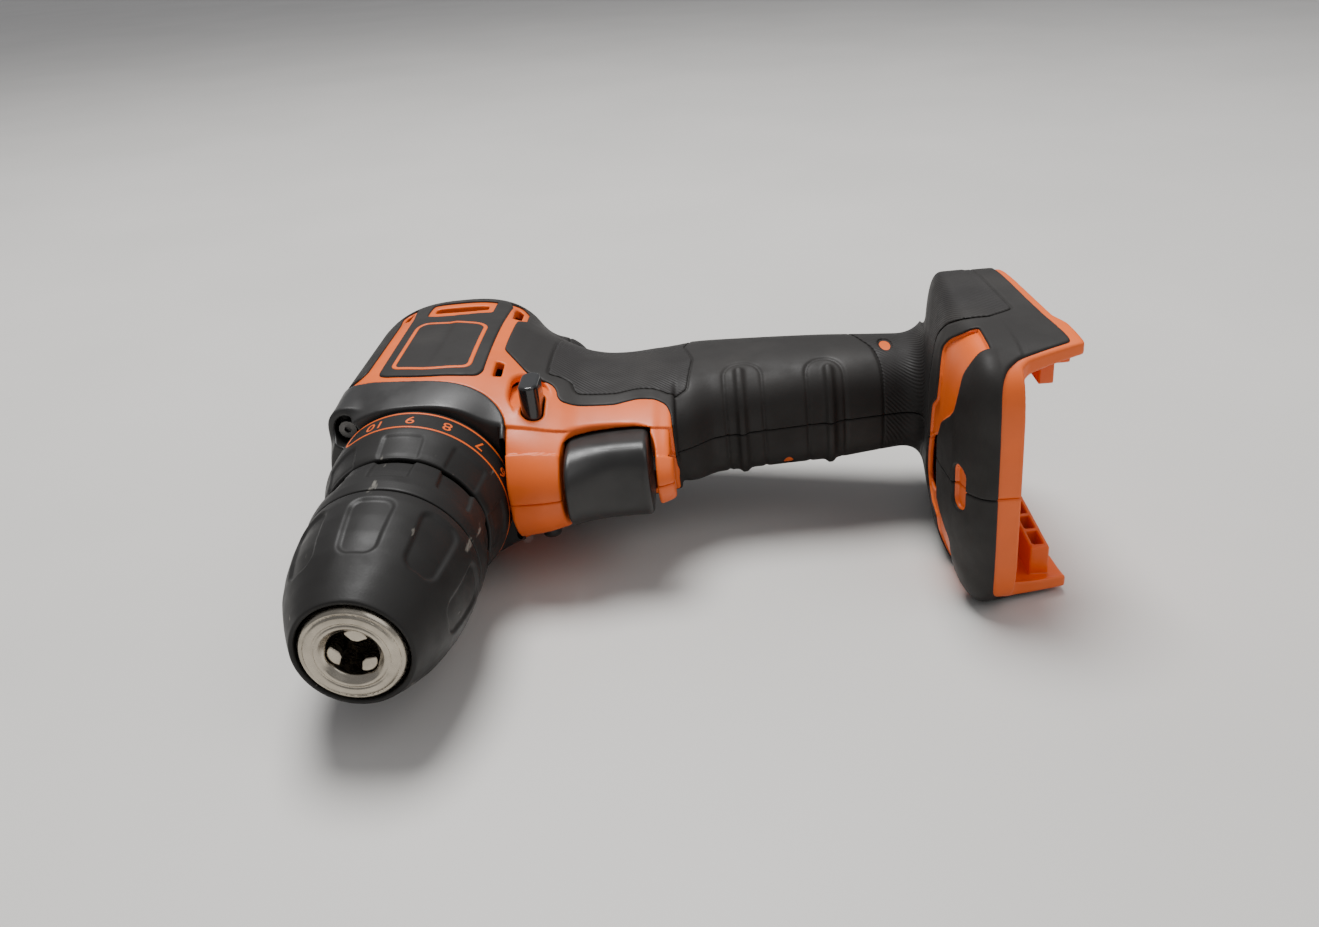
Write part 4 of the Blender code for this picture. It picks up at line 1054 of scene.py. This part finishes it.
def around(angle, count, first):
    """Angle from the nearest of a ring of evenly spaced places, in degrees."""
    pitch = 360.0 / count
    return (angle - first + pitch / 2) % pitch - pitch / 2


def slab(across, along, half_width, half_length, corner):
    """Distance to a rounded rectangle."""
    u = abs(across) - half_width + corner
    v = abs(along) - half_length + corner
    return hypot(maximum(u, 0), maximum(v, 0)) + minimum(maximum(u, v), 0) - corner


FLUTE_AZIMUTH = -5.0


def sleeve_dent(x, radius, angle):
    """Eight recessed flutes in the sleeve, which are wider towards the back."""
    across = np.radians(around(angle, 8, FLUTE_AZIMUTH)) * radius
    flute = slab(across, x + 20.5, 5.0 - 0.06 * (x + 20.5), 9.5, 3.0)
    return where(radius > 17.0, 0.75 * step_down(flute, 1.5), 0)


def rear_ring_dent(x, radius, angle):
    across = np.radians(around(angle, 8, FLUTE_AZIMUTH)) * radius
    facet = slab(across, x + 46.5, 5.2, 5.4, 0.8)
    return where(radius > 20.0, 0.8 * step_down(facet, 1.0), 0)


def collar_dent(x, radius, angle):
    across = np.radians(around(angle, 8, FLUTE_AZIMUTH)) * radius
    facet = slab(across, x + 56.0, 5.4, 4.2, 0.8)
    return where(radius > 20.0, 0.45 * step_down(facet, 1.0), 0)


def build_sleeve():
    corners = [
        (1.2, 14.4), (-2, 16.0), (-6, 17.8), (-12, 20.2), (-18, 21.6), (-24, 22.5), (-30, 23.0),
        (SLEEVE_BACK, 22.9), (SLEEVE_BACK, 18.0), (-10, 15.2), (-4.0, 13.3), (1.0, 13.3),
    ]
    turned("sleeve_shell", corners, 0.7, "chuck_sleeve", "chuck_sleeve", sleeve_dent)


def build_rear_ring():
    corners = [
        (RING_FRONT, 22.9), (-38, 23.3), (-45, 23.2), (RING_BACK, 22.6), (RING_BACK, 18.0),
        (RING_FRONT, 18.0),
    ]
    turned("rear_ring_shell", corners, 0.5, "spindle", "chuck_rear_ring", rear_ring_dent)


def build_collar():
    corners = [
        (COLLAR_FRONT, 22.6), (-53, 23.4), (-58, 24.4), (-62.6, 25.6), (-72.4, BAND_RADIUS),
        (COLLAR_BACK, 25.2), (COLLAR_BACK, 21.4), (COLLAR_FRONT, 21.4),
    ]
    turned("collar_shell", corners, 0.6, "clutch_collar", "clutch_collar", collar_dent)


LAST_NUMBER_AZIMUTH = 17.0
NUMBER_PITCH = 22.6       # degrees from one number of the torque scale to the next


def collar_point(x, azimuth, lift):
    """A place on the number band of the collar."""
    radius = 25.6 + 0.2 * (-62.6 - x) / 9.8 + lift
    return x, radius * math.cos(math.radians(azimuth)), radius * math.sin(math.radians(azimuth))


def build_scale_lines():
    """Two orange lines round the collar, joined by a round end before the highest number."""
    start, end = 31.0, -200.0
    front, back = -63.5, -71.5
    middle, reach = (front + back) / 2, (front - back) / 2
    path = [(front, azimuth) for azimuth in np.arange(end, start, 2.0)]
    path += [
        (middle + reach * math.cos(t), start + math.degrees(reach * math.sin(t) / BAND_RADIUS))
        for t in np.linspace(0, math.pi, 13)
    ]
    path += [(back, azimuth) for azimuth in np.arange(start, end, -2.0)]
    width, lift = 0.35, 0.06
    points, faces = [], []
    for i, (x, azimuth) in enumerate(path):
        ahead, behind = path[min(i + 1, len(path) - 1)], path[max(i - 1, 0)]
        dx, da = ahead[0] - behind[0], math.radians(ahead[1] - behind[1]) * BAND_RADIUS
        size = math.hypot(dx, da)
        for side in (-1, 1):
            for height in (-0.2, lift):
                shift_x = side * width * -da / size
                shift_a = math.degrees(side * width * dx / size / BAND_RADIUS)
                points.append(collar_point(x + shift_x, azimuth + shift_a, height))
    for i in range(len(path) - 1):
        a, b = 4 * i, 4 * i + 4
        for j, k in ((0, 1), (1, 3), (3, 2), (2, 0)):
            faces.append([a + j, a + k, b + k, b + j])
    faces += [[0, 2, 3, 1], [len(points) - 4, len(points) - 3, len(points) - 1, len(points) - 2]]
    mesh_object("scale_lines", points, faces, "clutch_collar", "orange_plastic")


def build_scale_numbers():
    """The numbers of the torque scale, wrapped round the collar's band."""
    for number in range(1, 11):
        azimuth = LAST_NUMBER_AZIMUTH - NUMBER_PITCH * (10 - number)
        curve = bpy.data.curves.new(f"digits_{number}", "FONT")
        curve.body = str(number)
        curve.size = 5.6
        curve.extrude = 0.12
        curve.align_x, curve.align_y = "CENTER", "CENTER"
        text = bpy.data.objects.new(f"digits_{number}", curve)
        bpy.context.scene.collection.objects.link(text)
        graph = bpy.context.evaluated_depsgraph_get()
        mesh = bpy.data.meshes.new_from_object(text.evaluated_get(graph))
        bpy.data.objects.remove(text)
        points = []
        for vertex in mesh.vertices:
            along, up, height = vertex.co
            turn = azimuth + math.degrees(along / BAND_RADIUS)
            points.append(collar_point(-67.5 + up, turn, height - 0.04))
        faces = [list(face.vertices) for face in mesh.polygons]
        bpy.data.meshes.remove(mesh)
        mesh_object(f"scale_number_{number}", points, faces, "clutch_collar", "orange_plastic")


JAW_AZIMUTHS = (100.0, 220.0, 340.0)
JAW_ANGLE = math.radians(15.0)
JAW_RADIUS = 3.0


def jaw_line(x):
    """Distance of a jaw's axis from the spindle axis."""
    return 3.3 - x * math.tan(JAW_ANGLE)


def jaw_end(x, azimuth):
    turn = math.radians(azimuth)
    return x, jaw_line(x) * math.cos(turn), jaw_line(x) * math.sin(turn)


def chuck_body_field(x, y, z):
    """The steel body: a domed ring around the mouth, with a bore for each jaw."""
    radius = hypot(y, z)
    dome = 2.2 - maximum(radius - 11.0, 0) ** 2 * 0.55
    groove = 0.5 * exp(-(((radius - 11.2) / 0.3) ** 2))
    groove += 0.35 * exp(-(((radius - 8.8) / 0.3) ** 2))
    solid = smooth_max(radius - NOSE_RADIUS, x - dome + groove, 0.9)
    bevel = 6.2 + 1.5 * clip((x - 0.7) / 1.5, 0, 1)
    solid = smooth_max(solid, bevel - radius, 0.3)
    solid = minimum(solid, maximum(radius - 17.2, abs(x + 31.2) - 7.8))
    solid = maximum(solid, -maximum(radius - 6.1, -12.0 - x))
    for azimuth in JAW_AZIMUTHS:
        bore = rod_field((x, y, z), jaw_end(8.0, azimuth), jaw_end(-46.0, azimuth), 3.3)
        solid = cut(solid, bore, 0.2)
    solid = maximum(solid, -maximum(radius - 5.2, -60.0 - x))
    return maximum(solid, -40.0 - x)


def jaw_field(azimuth):
    turn = math.radians(azimuth)
    outward = (math.cos(turn), math.sin(turn))

    def field(x, y, z):
        rod = rod_field((x, y, z), jaw_end(4.5, azimuth), jaw_end(-21.0, azimuth), JAW_RADIUS)
        reach = y * outward[0] + z * outward[1]
        across = abs(z * outward[0] - y * outward[1])
        wedge = maximum(3.1 - reach, across * 0.57 - (reach - 3.1) * 0.81 - 0.4)
        return smooth_max(smooth_max(rod, wedge, 0.25), x - 0.4, 0.25)

    return field


def build_chuck():
    build_sleeve()
    build_rear_ring()
    moulded(
        "chuck_nose", chuck_body_field, (-40.5, -18, -18), (3.0, 18, 18), 0.32,
        "spindle", "steel", ("chuck_body",),
    )
    for index, azimuth in enumerate(JAW_AZIMUTHS, 1):
        ends = np.array([jaw_end(2.0, azimuth), jaw_end(-26.0, azimuth)])
        moulded(
            f"jaw_{index}_finger", jaw_field(azimuth), ends.min(0) - 4.0, ends.max(0) + 4.0, 0.25,
            f"jaw_{index}", "steel", (f"jaw_{index}",),
        )


# ---- carried nodes and the setting


def finish_carried_nodes():
    """Procedural materials for the CAD nodes that stay as they are."""
    slots = {part["node"]: part["material_slot"] for part in frame["record"]["subparts"]}
    for name, item in frame["nodes"].items():
        look = FINISHES["dark_steel" if name.startswith("nose_screw") else slots[name]]
        item.data.materials.clear()
        item.data.materials.append(look)


def build_setting():
    low, high = (np.array(corner) for corner in CAD_BOX)
    middle = (low + high) / 2
    bpy.ops.mesh.primitive_plane_add(size=8.0, location=(middle[0], middle[1] + 1.0, 0.0))
    floor = bpy.context.object
    floor.name = "pale_floor"
    look, shader = new_material("floor_look", (0.66, 0.64, 0.61), 0.5)
    tree = look.node_tree
    stops = [(0.3, (0.64, 0.625, 0.595)), (0.7, (0.69, 0.67, 0.64))]
    tint(tree, shader, noise(tree, 6.0, 5.0), stops)
    floor.data.materials.append(look)

    world = bpy.data.worlds.new("soft_studio")
    world.use_nodes = True
    world.node_tree.nodes["Background"].inputs["Color"].default_value = (0.95, 0.96, 1.0, 1)
    world.node_tree.nodes["Background"].inputs["Strength"].default_value = 0.34
    bpy.context.scene.world = world
    for name, offset, size, power in (
        ("ceiling_light", (-0.15, 0.35, 1.3), 0.7, 25.0),
        ("window_light", (0.8, -0.4, 0.9), 1.0, 3.0),
    ):
        light = bpy.data.lights.new(name, "AREA")
        light.shape = "DISK"
        light.size = size
        light.energy = power
        lamp = bpy.data.objects.new(name, light)
        lamp.location = Vector(middle) + Vector(offset)
        lamp.rotation_euler = (-Vector(offset)).to_track_quat("-Z", "Y").to_euler()
        bpy.context.scene.collection.objects.link(lamp)


CAMERA_PLACE = (0.0098, -0.2779, 0.1763)
CAMERA_RIGHT = Vector((0.99785, 0.03103, -0.05773)).normalized()
CAMERA_FORWARD = Vector((-0.05441, 0.88334, -0.46558))
CAMERA_LENS = 29.31


def place_camera():
    """The camera looks down at the tool from in front of the chuck, rolled a little."""
    camera = bpy.data.cameras.new("photo_camera")
    camera.sensor_width = 36.0
    camera.lens = CAMERA_LENS
    placed = bpy.data.objects.new("photo_camera", camera)
    up = CAMERA_RIGHT.cross(CAMERA_FORWARD).normalized()
    turn = Matrix((CAMERA_RIGHT, up, -CAMERA_FORWARD.normalized())).transposed().to_4x4()
    placed.matrix_world = Matrix.Translation(CAMERA_PLACE) @ turn
    bpy.context.scene.collection.objects.link(placed)
    bpy.context.scene.camera = placed


build_housing()
build_nose()
build_controls()
build_chuck()
build_collar()
build_scale_lines()
build_scale_numbers()
finish_carried_nodes()
build_setting()
place_camera()
